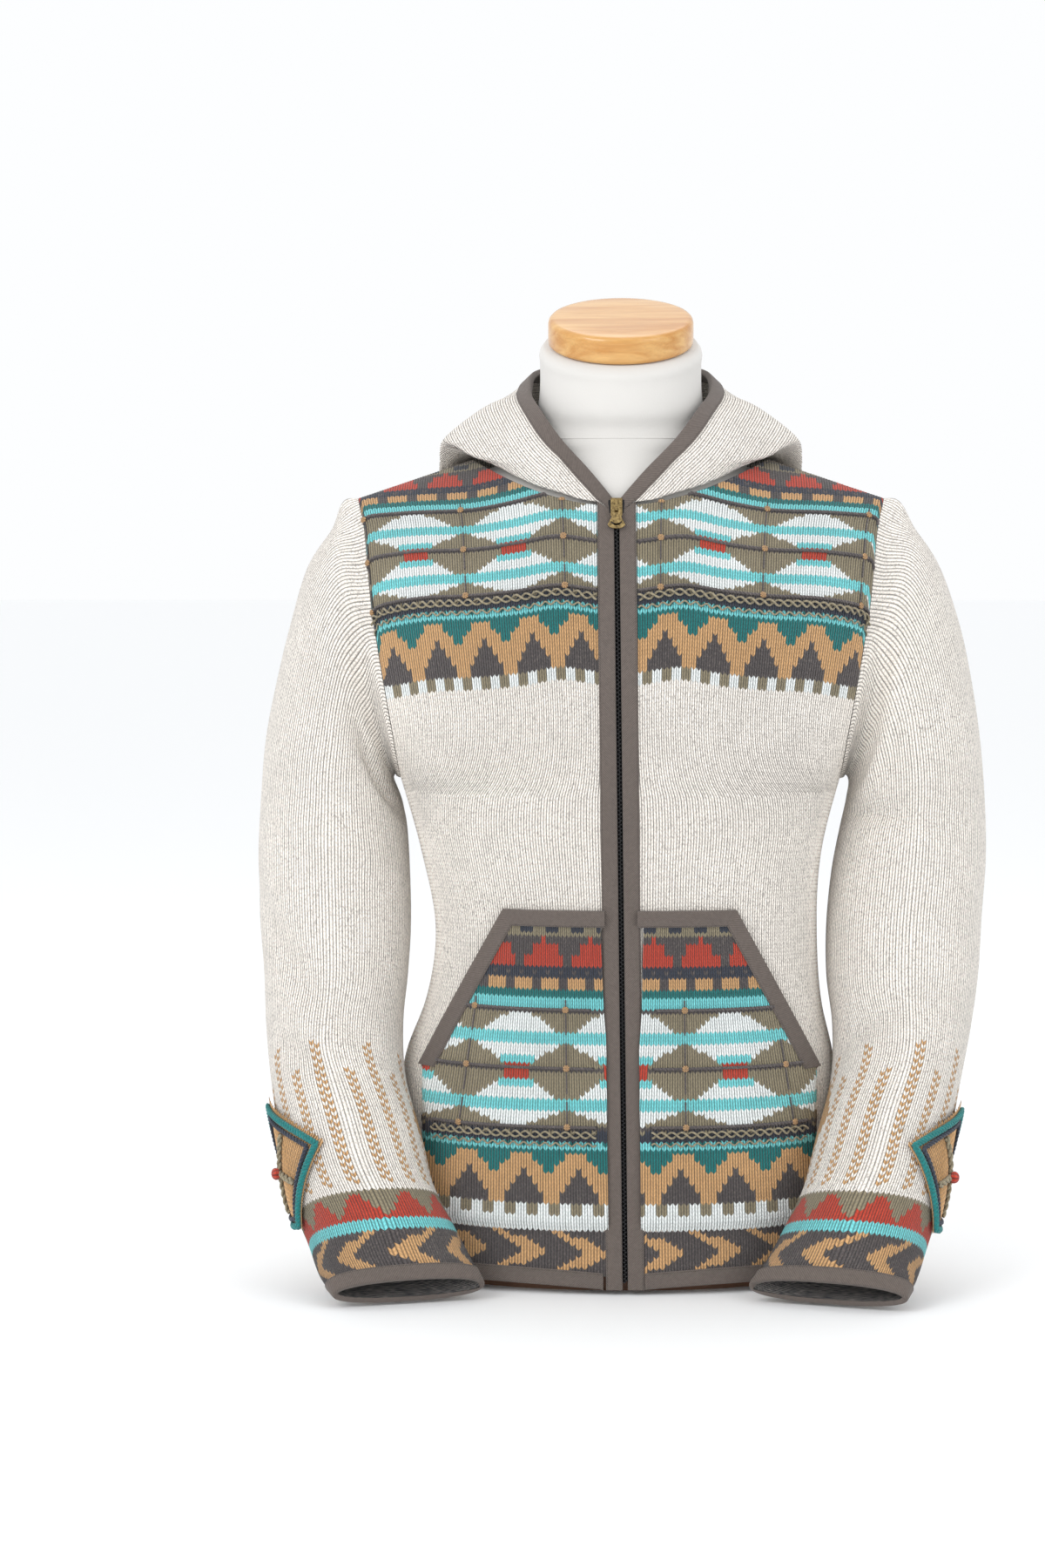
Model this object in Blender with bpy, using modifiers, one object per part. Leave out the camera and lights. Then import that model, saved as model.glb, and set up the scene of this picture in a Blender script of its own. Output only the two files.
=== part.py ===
"""A hooded, zipped knit cardigan worn by a limbless dress form.

Frame: metres, +Z up, the front faces -Y, and the wearer's left is +X. The origin
is on the table under the middle of the form's base board. Sizes below are in
millimetres, and MM turns them to metres where a mesh is made.
"""

import math

import bmesh
import bpy
import numpy as np
from mathutils import Matrix, Vector

MM = 0.001

# Cloth and trim
WALL = 2.2  # the knitted cloth
SEAM = 0.4  # half of the gap that two panels keep at their seam
LAY = 0.5  # what a piece laid on a panel keeps from it
TAPE_WIDE = 10.5  # the binding tape, as one of its legs shows it
TAPE_THICK = 0.9
TAPE_GAP = 0.45  # between the tape and the cloth that it wraps

# Body of the garment, ring by ring:
# height, half width, depth in front, depth behind, shift to the wearer's left
BODY = (
    (0, 168, 113, 112, 0),
    (90, 167, 109, 106, 0),
    (165, 164, 105, 99, 0),
    (205, 152, 101, 93, 3),
    (256, 146, 98, 85, 5),
    (322, 153, 105, 88, 1),
    (376, 167, 118, 94, 0),
    (430, 184, 124, 100, 0),
    (500, 197, 118, 104, 0),
    (560, 207, 103, 98, 0),
    (640, 215, 80, 80, 0),
)
ROUND = 2.4  # power of the rings, where 2 is an ellipse
UNDERARM = 377
TIP_HEIGHT, TIP_OUT = 590, 200  # shoulder tip
NECK_HEIGHT, NECK_OUT = 621, 108  # where the neckline meets the shoulder seam
ROLL_OVER = 150  # height in which the chest rolls over into the shoulder seam
FRONT_NECK = 584  # neckline at the centre front
NECK_DIP = 11  # the neckline drops at the zip, where the hood's corner is sewn in
CORNER_OUT = 3.35  # the hood's two front corners stand this far from the zip
BACK_NECK = 630
HEM_LOW, HEM_RISE = 4, 5  # lowest hem, and how far it lifts towards the hips
ZIP_FOOT, ZIP_LEAN = 5.0, -0.0135  # the zip's place at the table, and its lean
ZIP_GAP = 2.0  # half of the gap between the two bindings
ZIP_LOW, ZIP_HIGH = 9, 573  # ends of the teeth

# Armhole edge: height, distance out from the middle
ARMHOLE = (
    (377, 167),
    (404, 170),
    (443, 176),
    (472, 181),
    (508, 187),
    (540, 190.5),
    (573, 195),
    (590, 200),
)

# Sleeve rings from the shoulder to the cuff. Each ring has its end away from the
# body and its end beside the body: height, forward, out on the wearer's left, out
# on the right; then half its depth and how far its plane has tipped forward.
SLEEVE = (
    (566, 2, 225, 221, 379, 2, 173, 173, 49, 0),
    (538, 0, 243, 239, 377, 0, 175, 174, 54, 0),
    (495, -2, 258, 252, 372, -1, 175.5, 173, 57, 0),
    (454, -4, 267, 262, 365, -3, 174, 169.5, 58, 0),
    (408, -6, 274, 271, 355, -5, 172, 166, 59, 0),
    (360, -8, 278, 275, 338, -7, 168, 163, 59, 0),
    (318, -10, 279, 277, 306, -9, 162, 161, 59, 0),
    (275, -14, 276, 276, 265, -13, 158, 160, 58, 0),
    (230, -20, 273, 272, 227, -20, 158, 162, 57, 4),
    (188, -32, 266, 269, 192, -35, 162, 165, 55, 14),
    (147, -52, 256, 263, 156, -58, 160, 162, 50, 30),
    (105, -80, 246, 254, 114, -83, 147, 148, 44, 46),
    (70, -110, 237, 243, 76, -105, 136, 137, 36, 54),
    (45, -134, 226, 229, 49, -118, 122, 122, 27, 58),
    (24, -151, 217, 219, 28, -126, 109, 109, 17.5, 61),
    (12, -166, 208, 207, 13, -135, 97, 100, 10, 63),
)

# Large folds of the sleeves: side (1 is the wearer's left), ring and angle at each
# end, half width in mm, and how far the cloth moves out
SLEEVE_FOLDS = (
    (-1, 6.6, 20, 9.6, 120, 15, -4.0),
    (-1, 9.3, 40, 11.0, 120, 12, -3.5),
    (-1, 1.6, 120, 4.2, 165, 14, -5.0),
    (-1, 5.0, 60, 6.0, 140, 16, 2.5),
    (1, 5.2, 60, 4.2, 150, 14, -4.0),
    (1, 8.4, 70, 9.6, 160, 13, -3.5),
    (1, 0.8, 95, 3.4, 140, 14, 3.5),
    (1, 11.0, 20, 11.8, 110, 12, -2.5),
    (-1, 8.0, 220, 9.8, 320, 16, -3.5),
    (1, 7.2, 215, 9.0, 330, 16, -3.5),
)

# The hood lies back. From the zip round to the middle of the back, each station
# has the seam (out, height), then four points of the cloth from the seam to the
# bound rim (out, forward, height): under layer, fold, outer layer, rim.
HOOD = (
    (3.3, 575, 3.3, -98, 578, 3.3, -98, 582, 3.3, -98, 585, 3.3, -98, 588),
    (32, 587.3, 30, -93, 592, 28, -93, 597, 25, -92, 603, 21.5, -90, 609),
    (66, 598, 63, -78, 605, 59, -78, 613, 52, -76, 622, 43, -71, 632),
    (94, 612, 101, -37, 617, 107, -34, 622, 87, -42, 641, 59, -47, 654),
    (108, 621, 122, 1, 625, 138, 6, 628, 105, 6, 659, 69, -9, 672),
    (84, 626.5, 100, 70, 596, 122, 103, 520, 109, 103, 625, 61, 40, 689),
    (0, 630, 0, 107, 545, 0, 121, 434, 0, 142, 588, 0, 84, 694),
)

SEAM_RISE = 2.2  # the hood starts this far above the neckline's straight facets
HOOD_CLEAR = 3.0  # what the hood keeps from the shoulders that it lies on

# Pockets: inner edge, corner of the opening, side, and their heights
POCKET_IN = 15.0
POCKET_CORNER, POCKET_SIDE = 85, 148
POCKET_TOP, POCKET_TURN, POCKET_FOOT = 284, 163, 49

# Patches on the sleeves: ring and angle of the middle, half length and half width
PATCH_RING, PATCH_ANGLE = 11.6, 8
PATCH_LONG, PATCH_WIDE = 1.28, 62
PATCH_RAISE = 1.4  # its cable cross
BOBBLE = 4.6

# Dress form
FORM_EASE = 5.5  # the form lies this far inside the outer face of the cloth
NECK_WIDE, NECK_DEEP, NECK_SET = 61, 58, -8
NECK_TOP, CAP_TILT = 706, 20.5
CAP_RADIUS, CAP_THICK = 55, 21
BOARD_THICK, BOARD_HALF_WIDE, BOARD_HALF_DEEP = 12, 151, 97
CAP_ROUND = 3.0

collection = bpy.data.collections.new("hooded_sweater_on_dress_form")
cutters = bpy.data.collections.new("cutters")


def clear_scene():
    for item in list(bpy.data.objects):
        bpy.data.objects.remove(item, do_unlink=True)
    bpy.context.scene.collection.children.link(collection)
    bpy.context.scene.collection.children.link(cutters)


def material(name, colour, roughness, metallic=0.0):
    """A finish from an sRGB colour in hex."""
    made = bpy.data.materials.new(name)
    made.use_nodes = True
    shader = made.node_tree.nodes["Principled BSDF"]
    channels = [int(colour[i : i + 2], 16) / 255 for i in (0, 2, 4)]
    linear = [((c + 0.055) / 1.055) ** 2.4 if c > 0.04045 else c / 12.92 for c in channels]
    shader.inputs["Base Color"].default_value = (*linear, 1.0)
    shader.inputs["Roughness"].default_value = roughness
    shader.inputs["Metallic"].default_value = metallic
    made.diffuse_color = (*linear, 1.0)
    return made


def through(keys, values, at):
    """A smooth line through keyed values, read at each place in at."""
    keys = np.asarray(keys, float)
    values = np.asarray(values, float)
    slope = np.gradient(values, keys, axis=0)
    at = np.clip(np.asarray(at, float), keys[0], keys[-1])
    i = np.clip(np.searchsorted(keys, at) - 1, 0, len(keys) - 2)
    span = keys[i + 1] - keys[i]
    t = (at - keys[i]) / span
    if values.ndim > 1:
        extra = (1,) * (values.ndim - 1)
        t = t.reshape(t.shape + extra)
        span = span.reshape(span.shape + extra)
    first = (2 * t**3 - 3 * t**2 + 1) * values[i] + (t**3 - 2 * t**2 + t) * span * slope[i]
    second = (3 * t**2 - 2 * t**3) * values[i + 1] + (t**3 - t**2) * span * slope[i + 1]
    return first + second


def unit(v):
    return v / np.maximum(np.linalg.norm(v, axis=-1, keepdims=True), 1e-9)


def ring_sizes(z):
    """Half width, front depth, back depth and shift of the garment at a height."""
    table = np.array(BODY, float)
    return np.moveaxis(through(table[:, 0], table[:, 1:], z), -1, 0)


def shoulder_height(x):
    """Height of the shoulder line, which climbs the neck inside the neckline."""
    x = np.abs(x)
    slope = (NECK_HEIGHT - TIP_HEIGHT) / (TIP_OUT - NECK_OUT)
    inside = np.clip(1 - x / NECK_OUT, 0, 1)
    return NECK_HEIGHT - (x - NECK_OUT) * slope + 90 * inside**1.5


def depth(x, z, behind=False, ease=0.0):
    """How far the garment's face stands in front of, or behind, the shoulder line."""
    half, front, back, shift = ring_sizes(z)
    deep = (back if behind else front) - ease
    across = np.clip(np.abs(x - shift) / (half - ease), 0, 1)
    flat = deep * (1 - across**ROUND) ** (1 / ROUND)
    climb = np.clip((z - shoulder_height(x) + ease + ROLL_OVER) / ROLL_OVER, 0, 1)
    return flat * np.sqrt(np.clip(1 - climb**2.2, 0, 1))


def front_point(x, z):
    return np.stack([x, -SEAM - depth(x, z), z + 0 * x], -1)


def back_point(x, z):
    return np.stack([x, SEAM + depth(x, z, behind=True), z + 0 * x], -1)


def armhole_out(z):
    return through(*np.array(ARMHOLE).T, z)


def edge_out(z):
    """The panel's outer edge: the side seam, and above it the armhole."""
    half = ring_sizes(z)[0]
    return np.where(z < UNDERARM, half, np.minimum(armhole_out(z), half))


def zip_place(z):
    return ZIP_FOOT + ZIP_LEAN * z


def hem_height(across):
    """The hem hangs lowest at the zip and lifts a little towards the hips."""
    return HEM_LOW + HEM_RISE * np.sin(np.pi * np.clip(across, 0, 1) ** 0.8)


def neckline(x):
    x = x - zip_place(FRONT_NECK) * np.clip(1 - np.abs(x) / NECK_OUT, 0, 1)
    reach = np.clip((np.abs(x) - 10) / (NECK_OUT - 10), 0, 1)
    dip = NECK_DIP * np.clip(1 - (np.abs(x) - CORNER_OUT) / TAPE_WIDE, 0, 1)
    return FRONT_NECK + (NECK_HEIGHT - FRONT_NECK) * reach**1.7 - dip


def back_neckline(x):
    reach = np.clip(np.abs(x) / NECK_OUT, 0, 1)
    return BACK_NECK - (BACK_NECK - NECK_HEIGHT) * reach**3


SPLIT = 470  # rows are level below this height, and fan to the neckline above it
LOW_ROWS, HIGH_ROWS = 13, 8


def level_rows():
    low = np.linspace(0, 1, LOW_ROWS + 1)
    high = np.sin(np.linspace(0, 1, HIGH_ROWS + 1)[1:] * math.pi / 2)
    return low, high


def panel_rows(across, out_at, top_of):
    """Each point's height and way out, from the hem to the shoulder and neckline."""
    low, high = level_rows()
    foot = hem_height(np.abs(across))
    lower = foot + (SPLIT - foot) * low[:, None]
    lower[1] = foot + TAPE_WIDE
    edge = SPLIT + (TIP_HEIGHT - SPLIT) * high[:, None]
    top = top_of(out_at(TIP_HEIGHT + 0 * across, across))
    upper = SPLIT + (top - SPLIT) * high[:, None]
    guide = np.concatenate([lower, edge + 0 * across])
    return np.concatenate([lower, upper]), out_at(guide, across)


def front_panel(side, across):
    """Points of a front, from the zip out to the side seam, the hem up."""

    def out(z, share):
        half, _, _, shift = ring_sizes(z)
        start = side * (zip_place(z) - shift) + ZIP_GAP + TAPE_THICK + TAPE_GAP
        first = np.arcsin(np.clip(start / half, 0, 1) ** (ROUND / 2))
        last = np.arcsin(np.clip(edge_out(z) / half, 0, 1) ** (ROUND / 2))
        x = half * np.sin(first + (last - first) * share) ** (2 / ROUND)
        x = np.where(share == across[1], x[..., :1] + TAPE_WIDE * 0.99, x)
        return side * x + shift

    def top(x):
        return np.where(np.abs(x) < NECK_OUT, neckline(x), shoulder_height(x))

    heights, x = panel_rows(across, out, top)
    return front_point(x, heights)


def back_panel(across):
    """Points of the back, from the wearer's left side to the right."""

    def out(z, share):
        half, _, _, shift = ring_sizes(z)
        last = np.arcsin(np.clip(edge_out(z) / half, 0, 1) ** (ROUND / 2))
        turn = last * share
        return -half * np.sign(turn) * np.abs(np.sin(turn)) ** (2 / ROUND) + shift

    def top(x):
        return np.where(np.abs(x) < NECK_OUT, back_neckline(x), shoulder_height(x))

    heights, x = panel_rows(across, out, top)
    return back_point(x, heights)


def place(made, finish, where=None):
    made.data.materials.append(finish)
    (where or collection).objects.link(made)
    return made


def sheet_mesh(name, points, closed=False):
    """An open surface from rows of points; columns close on themselves if asked."""
    rows, columns = points.shape[:2]
    flat = (points.reshape(-1, 3) * MM).tolist()
    steps = columns if closed else columns - 1
    faces = []
    for r in range(rows - 1):
        for c in range(steps):
            d = (c + 1) % columns
            faces.append((r * columns + c, r * columns + d, (r + 1) * columns + d, (r + 1) * columns + c))
    mesh = bpy.data.meshes.new(name)
    mesh.from_pydata(flat, [], faces)
    mesh.shade_smooth()
    return mesh


def cloth(name, points, finish, normals=None, wall=WALL, closed=False):
    """A cloth wall whose outer face is the points and whose inner face lies under it."""
    if normals is None:
        normals = ring_normals(points) if closed else grid_normals(points)
    return slab(name, points, points - normals * wall, finish, closed)


def split(quad, forward):
    """A quad as two triangles, cut from its first corner or from its second."""
    a, b, c, d = quad
    return ((a, b, c), (a, c, d)) if forward else ((b, c, d), (b, d, a))


def slab(name, outer, inner, finish, closed=False):
    """A closed solid between two sheets of like points."""
    rows, columns = outer.shape[:2]
    flat = (np.concatenate([outer.reshape(-1, 3), inner.reshape(-1, 3)]) * MM).tolist()
    under = rows * columns
    faces = []
    for r in range(rows - 1):
        for c in range(columns if closed else columns - 1):
            d = (c + 1) % columns
            quad = (r * columns + c, r * columns + d, (r + 1) * columns + d, (r + 1) * columns + c)
            for face in split(quad, True):
                faces.append(face)
                faces.append(tuple(under + v for v in reversed(face)))
    first, last = list(range(columns)), [(rows - 1) * columns + c for c in range(columns)]
    if closed:
        rims = [first + first[:1], last[::-1] + last[-1:]]
    else:
        right = [r * columns + columns - 1 for r in range(rows)]
        left = [r * columns for r in range(rows)]
        rims = [first + right[1:] + last[::-1][1:] + left[::-1][1:]]
    for rim in rims:
        for a, b in zip(rim, rim[1:]):
            faces.append((a, a + under, b + under, b))
    mesh = bpy.data.meshes.new(name)
    mesh.from_pydata(flat, [], faces)
    bm = bmesh.new()
    bm.from_mesh(mesh)
    bmesh.ops.recalc_face_normals(bm, faces=bm.faces)
    bm.to_mesh(mesh)
    bm.free()
    mesh.shade_smooth()
    return place(bpy.data.objects.new(name, mesh), finish)


def grid_normals(points):
    """Outward normals of a sheet whose columns and rows turn as sheet_mesh needs."""
    return unit(np.cross(np.gradient(points, axis=1), np.gradient(points, axis=0)))


def ring_normals(points):
    """Outward normals of a sheet whose columns close on themselves."""
    wrapped = np.concatenate([points[:, -1:], points, points[:, :1]], 1)
    return grid_normals(wrapped)[:, 1:-1]


def swept(name, rails, finish, closed=False, leans=None):
    """A solid between rails: each rail is one corner of the section, along its length.

    leans says for each side of the section which way its quads are cut.
    """
    rails = np.asarray(rails)
    corners, stations = rails.shape[:2]
    flat = (rails.reshape(-1, 3) * MM).tolist()
    faces = []
    for c in range(corners):
        d = (c + 1) % corners
        for s in range(stations if closed else stations - 1):
            t = (s + 1) % stations
            quad = (c * stations + s, d * stations + s, d * stations + t, c * stations + t)
            faces += split(quad, leans[c] if leans else True)
    if not closed:
        faces.append(tuple(c * stations for c in range(corners)))
        faces.append(tuple(c * stations + stations - 1 for c in reversed(range(corners))))
    mesh = bpy.data.meshes.new(name)
    mesh.from_pydata(flat, [], faces)
    bm = bmesh.new()
    bm.from_mesh(mesh)
    bmesh.ops.recalc_face_normals(bm, faces=bm.faces)
    bm.to_mesh(mesh)
    bm.free()
    made = bpy.data.objects.new(name, mesh)
    return place(made, finish)


def binding(name, strip, normals, finish, both=True, closed=False, lean=True):
    """Tape folded round a cloth edge.

    The strip is the cloth's edge and the next line of points in from it, so the
    tape's legs lie parallel to the cloth, one outside and one inside. lean says which
    way the cloth's own quads are cut, so that the two stay parallel where they twist.
    """
    near, far = TAPE_GAP, TAPE_GAP + TAPE_THICK
    edge, leg = strip
    at_edge, at_leg = normals
    out = unit(edge - leg)
    rails = [leg + at_leg * far, edge + at_edge * far + out * far]
    if both:
        rails += [edge - at_edge * (WALL + far) + out * far, leg - at_leg * (WALL + far)]
        rails += [leg - at_leg * (WALL + near), edge - at_edge * (WALL + near) + out * near]
    else:
        rails += [edge - at_edge * WALL + out * far, edge - at_edge * WALL + out * near]
    rails += [edge + at_edge * near + out * near, leg + at_leg * near]
    kinds = "LEELLEEL" if both else "LEEEEL"
    leans = [lean if pair != "EL" else not lean for pair in map("".join, zip(kinds, kinds[1:] + "L"))]
    return swept(name, rails, finish, closed, leans)


def sleeve_rings(side, around):
    """Key rings of a sleeve, each a loop that starts away from the body."""
    angle = np.radians(around)
    which = 2 if side > 0 else 3
    rings = []
    for row in SLEEVE:
        outer = np.array([side * row[which], row[1], row[0]], float)
        inner = np.array([side * row[which + 4], row[5], row[4]], float)
        half_depth, tip = row[8], math.radians(row[9])
        middle, reach = (outer + inner) / 2, (outer - inner) / 2
        front = np.array([0, -math.cos(tip), math.sin(tip)])
        along = unit(reach)
        front = unit(front - along * (front @ along)) * half_depth
        c = np.cos(angle)
        s = np.sin(angle)
        power = 0.94 - 0.1 * row[9] / 63
        c = np.sign(c) * np.abs(c) ** power
        s = np.sign(s) * np.abs(s) ** power
        rings.append(middle + c[:, None] * reach + s[:, None] * front)
    return np.array(rings)


def armhole_loop(side, around):
    """The armhole edge from the shoulder tip, down the front, and up the back."""
    fine = UNDERARM + (TIP_HEIGHT - UNDERARM) * (0.5 + 0.5 * np.cos(np.linspace(0, math.pi, 60)))
    out = side * edge_out(fine)
    down = front_point(out, fine)
    up = back_point(out, fine)[::-1]
    loop = np.concatenate([down, up[1:-1]])
    loop = np.concatenate([loop, loop[:1]])
    run = np.concatenate([[0], np.cumsum(np.linalg.norm(np.diff(loop, axis=0), axis=1))])
    half = run[59]
    at = np.asarray(around) / 180
    want = np.where(at <= 1, at * half, half + (at - 1) * (run[-1] - half))
    spot = np.stack([np.interp(want, run, loop[:, k]) for k in range(3)], -1)
    inside = loop.copy()
    inside[:, 0] = side * (np.abs(loop[:, 0]) - 6)
    behind = inside[:, 1] > 0
    inside[:, 1] = np.where(
        behind,
        SEAM + depth(inside[:, 0], inside[:, 2], behind=True),
        -SEAM - depth(inside[:, 0], inside[:, 2]),
    )
    away = np.stack([np.interp(want, run, (loop - inside)[:, k]) for k in range(3)], -1)
    along = np.roll(spot, -1, 0) - np.roll(spot, 1, 0)
    along = unit(along)
    away = unit(away - along * np.sum(away * along, -1, keepdims=True))
    low = np.clip((1 - np.cos(np.radians(around))) / 2, 0, 1)[:, None]
    mix = away * (1 - 0.55 * low**0.7) + np.array([side, 0, 0.35]) * 0.55 * low**0.7
    return spot, unit(mix)


def sleeve_surface(side, places, around):
    """Points of a sleeve at ring places (0 is the first key ring) and angles."""
    keys = sleeve_rings(side, around)
    spot, away = armhole_loop(side, around)
    low = (1 - np.cos(np.radians(around))) / 2
    first = spot + away * (1.1 + 0.9 * low**2)[:, None]
    second = spot + away * (9 - 6 * low)[:, None]
    line = np.concatenate([[first, second], keys])
    at = np.concatenate([[-1.25, -0.9], np.arange(len(keys))])
    made = through(at, line, places)
    for fold_side, ring_a, angle_a, ring_b, angle_b, wide, out in SLEEVE_FOLDS:
        if fold_side != side:
            continue
        a = np.array([ring_a * 40.0, angle_a])
        b = np.array([ring_b * 40.0, angle_b])
        here = np.stack(np.meshgrid(np.asarray(places) * 40.0, around, indexing="ij"), -1)
        share = np.clip(((here - a) @ (b - a)) / ((b - a) @ (b - a)), 0, 1)
        away_from = np.linalg.norm(here - (a + share[..., None] * (b - a)), axis=-1)
        fade = np.sin(np.pi * np.clip(0.12 + 0.76 * share, 0, 1))
        push = out * fade * np.exp(-((away_from / wide) ** 2))
        made = made + ring_normals(made) * side * push[..., None]
    return made


def hood_surface(stations, shares):
    """Points of the hood, from the wearer's left round the back to the right.

    The shares place its rows from the seam up to one tape's width from the rim; the
    last row is the rim itself.
    """
    table = np.array(HOOD, float)
    seam_y = np.where(
        np.arange(len(table)) < 4,
        -depth(table[:, 0], table[:, 1]) - 0.2,
        depth(table[:, 0], table[:, 1], behind=True) + 1.0,
    )
    seam_y[4] = 0
    seam = np.stack([table[:, 0], seam_y, table[:, 1] + SEAM_RISE], -1)
    key = np.concatenate([seam[:, None], table[:, 2:].reshape(len(table), 4, 3)], 1)
    mirrored = key[-2::-1] * np.array([-1, 1, 1])
    key = np.concatenate([key, mirrored])
    along = through(np.arange(len(key)), key, stations)
    rows = np.linspace(0, 4, 161)
    made = through(np.arange(5), np.moveaxis(along, 1, 0), rows)
    x, y, z = made[..., 0], made[..., 1], made[..., 2]
    x = x + zip_place(FRONT_NECK) * np.clip(1 - np.abs(x) / NECK_OUT, 0, 1) * np.clip(-y / 40, 0, 1)
    lift = np.where(y[0] < -20, neckline(x[0]) + SEAM_RISE - z[0], 0)
    z = z + np.maximum(lift, 0) * (1 - rows[:, None] / 4) ** 2
    low = rows[:, None] > 0.05
    under = (z < shoulder_height(x) + HOOD_CLEAR) & low
    back_face = SEAM + depth(x, z - HOOD_CLEAR, behind=True) + HOOD_CLEAR
    front_face = -SEAM - depth(x, z - HOOD_CLEAR) - HOOD_CLEAR * 0.4
    y = np.where(under & (y > 0), np.maximum(y, back_face), y)
    y = np.where(under & (y <= 0), np.minimum(y, front_face), y)
    corner = np.clip(1 - (np.abs(x - zip_place(FRONT_NECK)) - 16) / 26, 0, 1) * (y < 0)
    y = y * (1 - corner) - (SEAM + depth(x, z)) * corner
    made = np.stack([x, y, z], -1)
    steps = np.linalg.norm(np.diff(made, axis=0), axis=-1)
    run = np.concatenate([np.zeros((1, steps.shape[1])), np.cumsum(steps, axis=0)])
    columns = []
    for c in range(made.shape[1]):
        last = max(run[-1, c] - TAPE_WIDE, run[-1, c] * 0.2)
        want = np.append(shares * last, run[-1, c])
        columns.append(np.stack([np.interp(want, run[:, c], made[:, c, k]) for k in range(3)], -1))
    return np.stack(columns, 1)


def build_panels(knit):
    """The two fronts and the back, and the rows of points that trims need."""
    across = np.linspace(0, 1, 11)
    fronts = {}
    for side, name in ((1, "front_left"), (-1, "front_right")):
        points = front_panel(side, across)
        fronts[side] = points
        normal = grid_normals(points) * side
        normal[:, -1] = seam_normals(normal[:, -1])
        normal[-1, 5:] = seam_normals(normal[-1, 5:])
        cloth(name, points, knit, normal)
    back = back_panel(np.linspace(-1, 1, 19))
    normal = grid_normals(back)
    normal[:, 0] = seam_normals(normal[:, 0])
    normal[:, -1] = seam_normals(normal[:, -1])
    for end in (slice(0, 5), slice(-5, None)):
        normal[-1, end] = seam_normals(normal[-1, end])
    cloth("back_panel", back, knit, normal)
    return fronts, back


def seam_normals(normal):
    """At a side or shoulder seam the two walls face the same way."""
    return unit(normal * np.array([1, 0.0, 1]))


SLEEVE_AROUND = np.arange(0, 360, 18.0)  # angles and ring places of a sleeve's points
SLEEVE_PLACES = np.concatenate([[-1.25, -0.9, -0.45], np.arange(0, 14.3, 0.79), [14.42, 15]])


def build_sleeve(side, word, knit, tape, patch_finish, outline_finish, bobble_finish):
    points = sleeve_surface(side, SLEEVE_PLACES, SLEEVE_AROUND)
    cloth("sleeve_" + word, points, knit, ring_normals(points) * side, closed=True)
    build_cuff_tape(side, word, points, tape)
    build_patch(side, word, patch_finish, outline_finish, bobble_finish)


def build_cuff_tape(side, word, points, tape):
    """The tape wraps the cuff over its last row."""
    normal = ring_normals(points) * side
    strip, facing = points[[-1, -2]], normal[[-1, -2]]
    binding("binding_cuff_" + word, strip, facing, tape, both=False, closed=True)


def patch_points(side, steps):
    """A diamond on the sleeve: rows and columns run along its four sides."""
    line = np.linspace(-1, 1, steps)
    first, second = np.meshgrid(line, line, indexing="ij")
    along = (first + second) / 2 * PATCH_LONG + PATCH_RING
    turn = (first - second) / 2 * PATCH_WIDE + PATCH_ANGLE
    surface = sleeve_surface(side, SLEEVE_PLACES, SLEEVE_AROUND)
    normal = ring_normals(surface) * side

    def read(field):
        i = np.interp(along, SLEEVE_PLACES, np.arange(len(SLEEVE_PLACES)))
        j = (turn % 360) / SLEEVE_AROUND[1]
        i0 = np.floor(i).astype(int)
        j0 = np.floor(j).astype(int)
        a, b = (i - i0)[..., None], (j - j0)[..., None]
        j1 = (j0 + 1) % len(SLEEVE_AROUND)
        j0 = j0 % len(SLEEVE_AROUND)
        return (
            field[i0, j0] * (1 - a) * (1 - b)
            + field[i0 + 1, j0] * a * (1 - b)
            + field[i0, j1] * (1 - a) * b
            + field[i0 + 1, j1] * a * b
        )

    return first, second, read(surface), unit(read(normal))


PATCH_LAY, PATCH_WALL = 1.1, 2.0  # the patch's gap from the sleeve, and its thickness
OUTLINE_WIDE, OUTLINE_THICK = 6.0, 2.2


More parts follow.
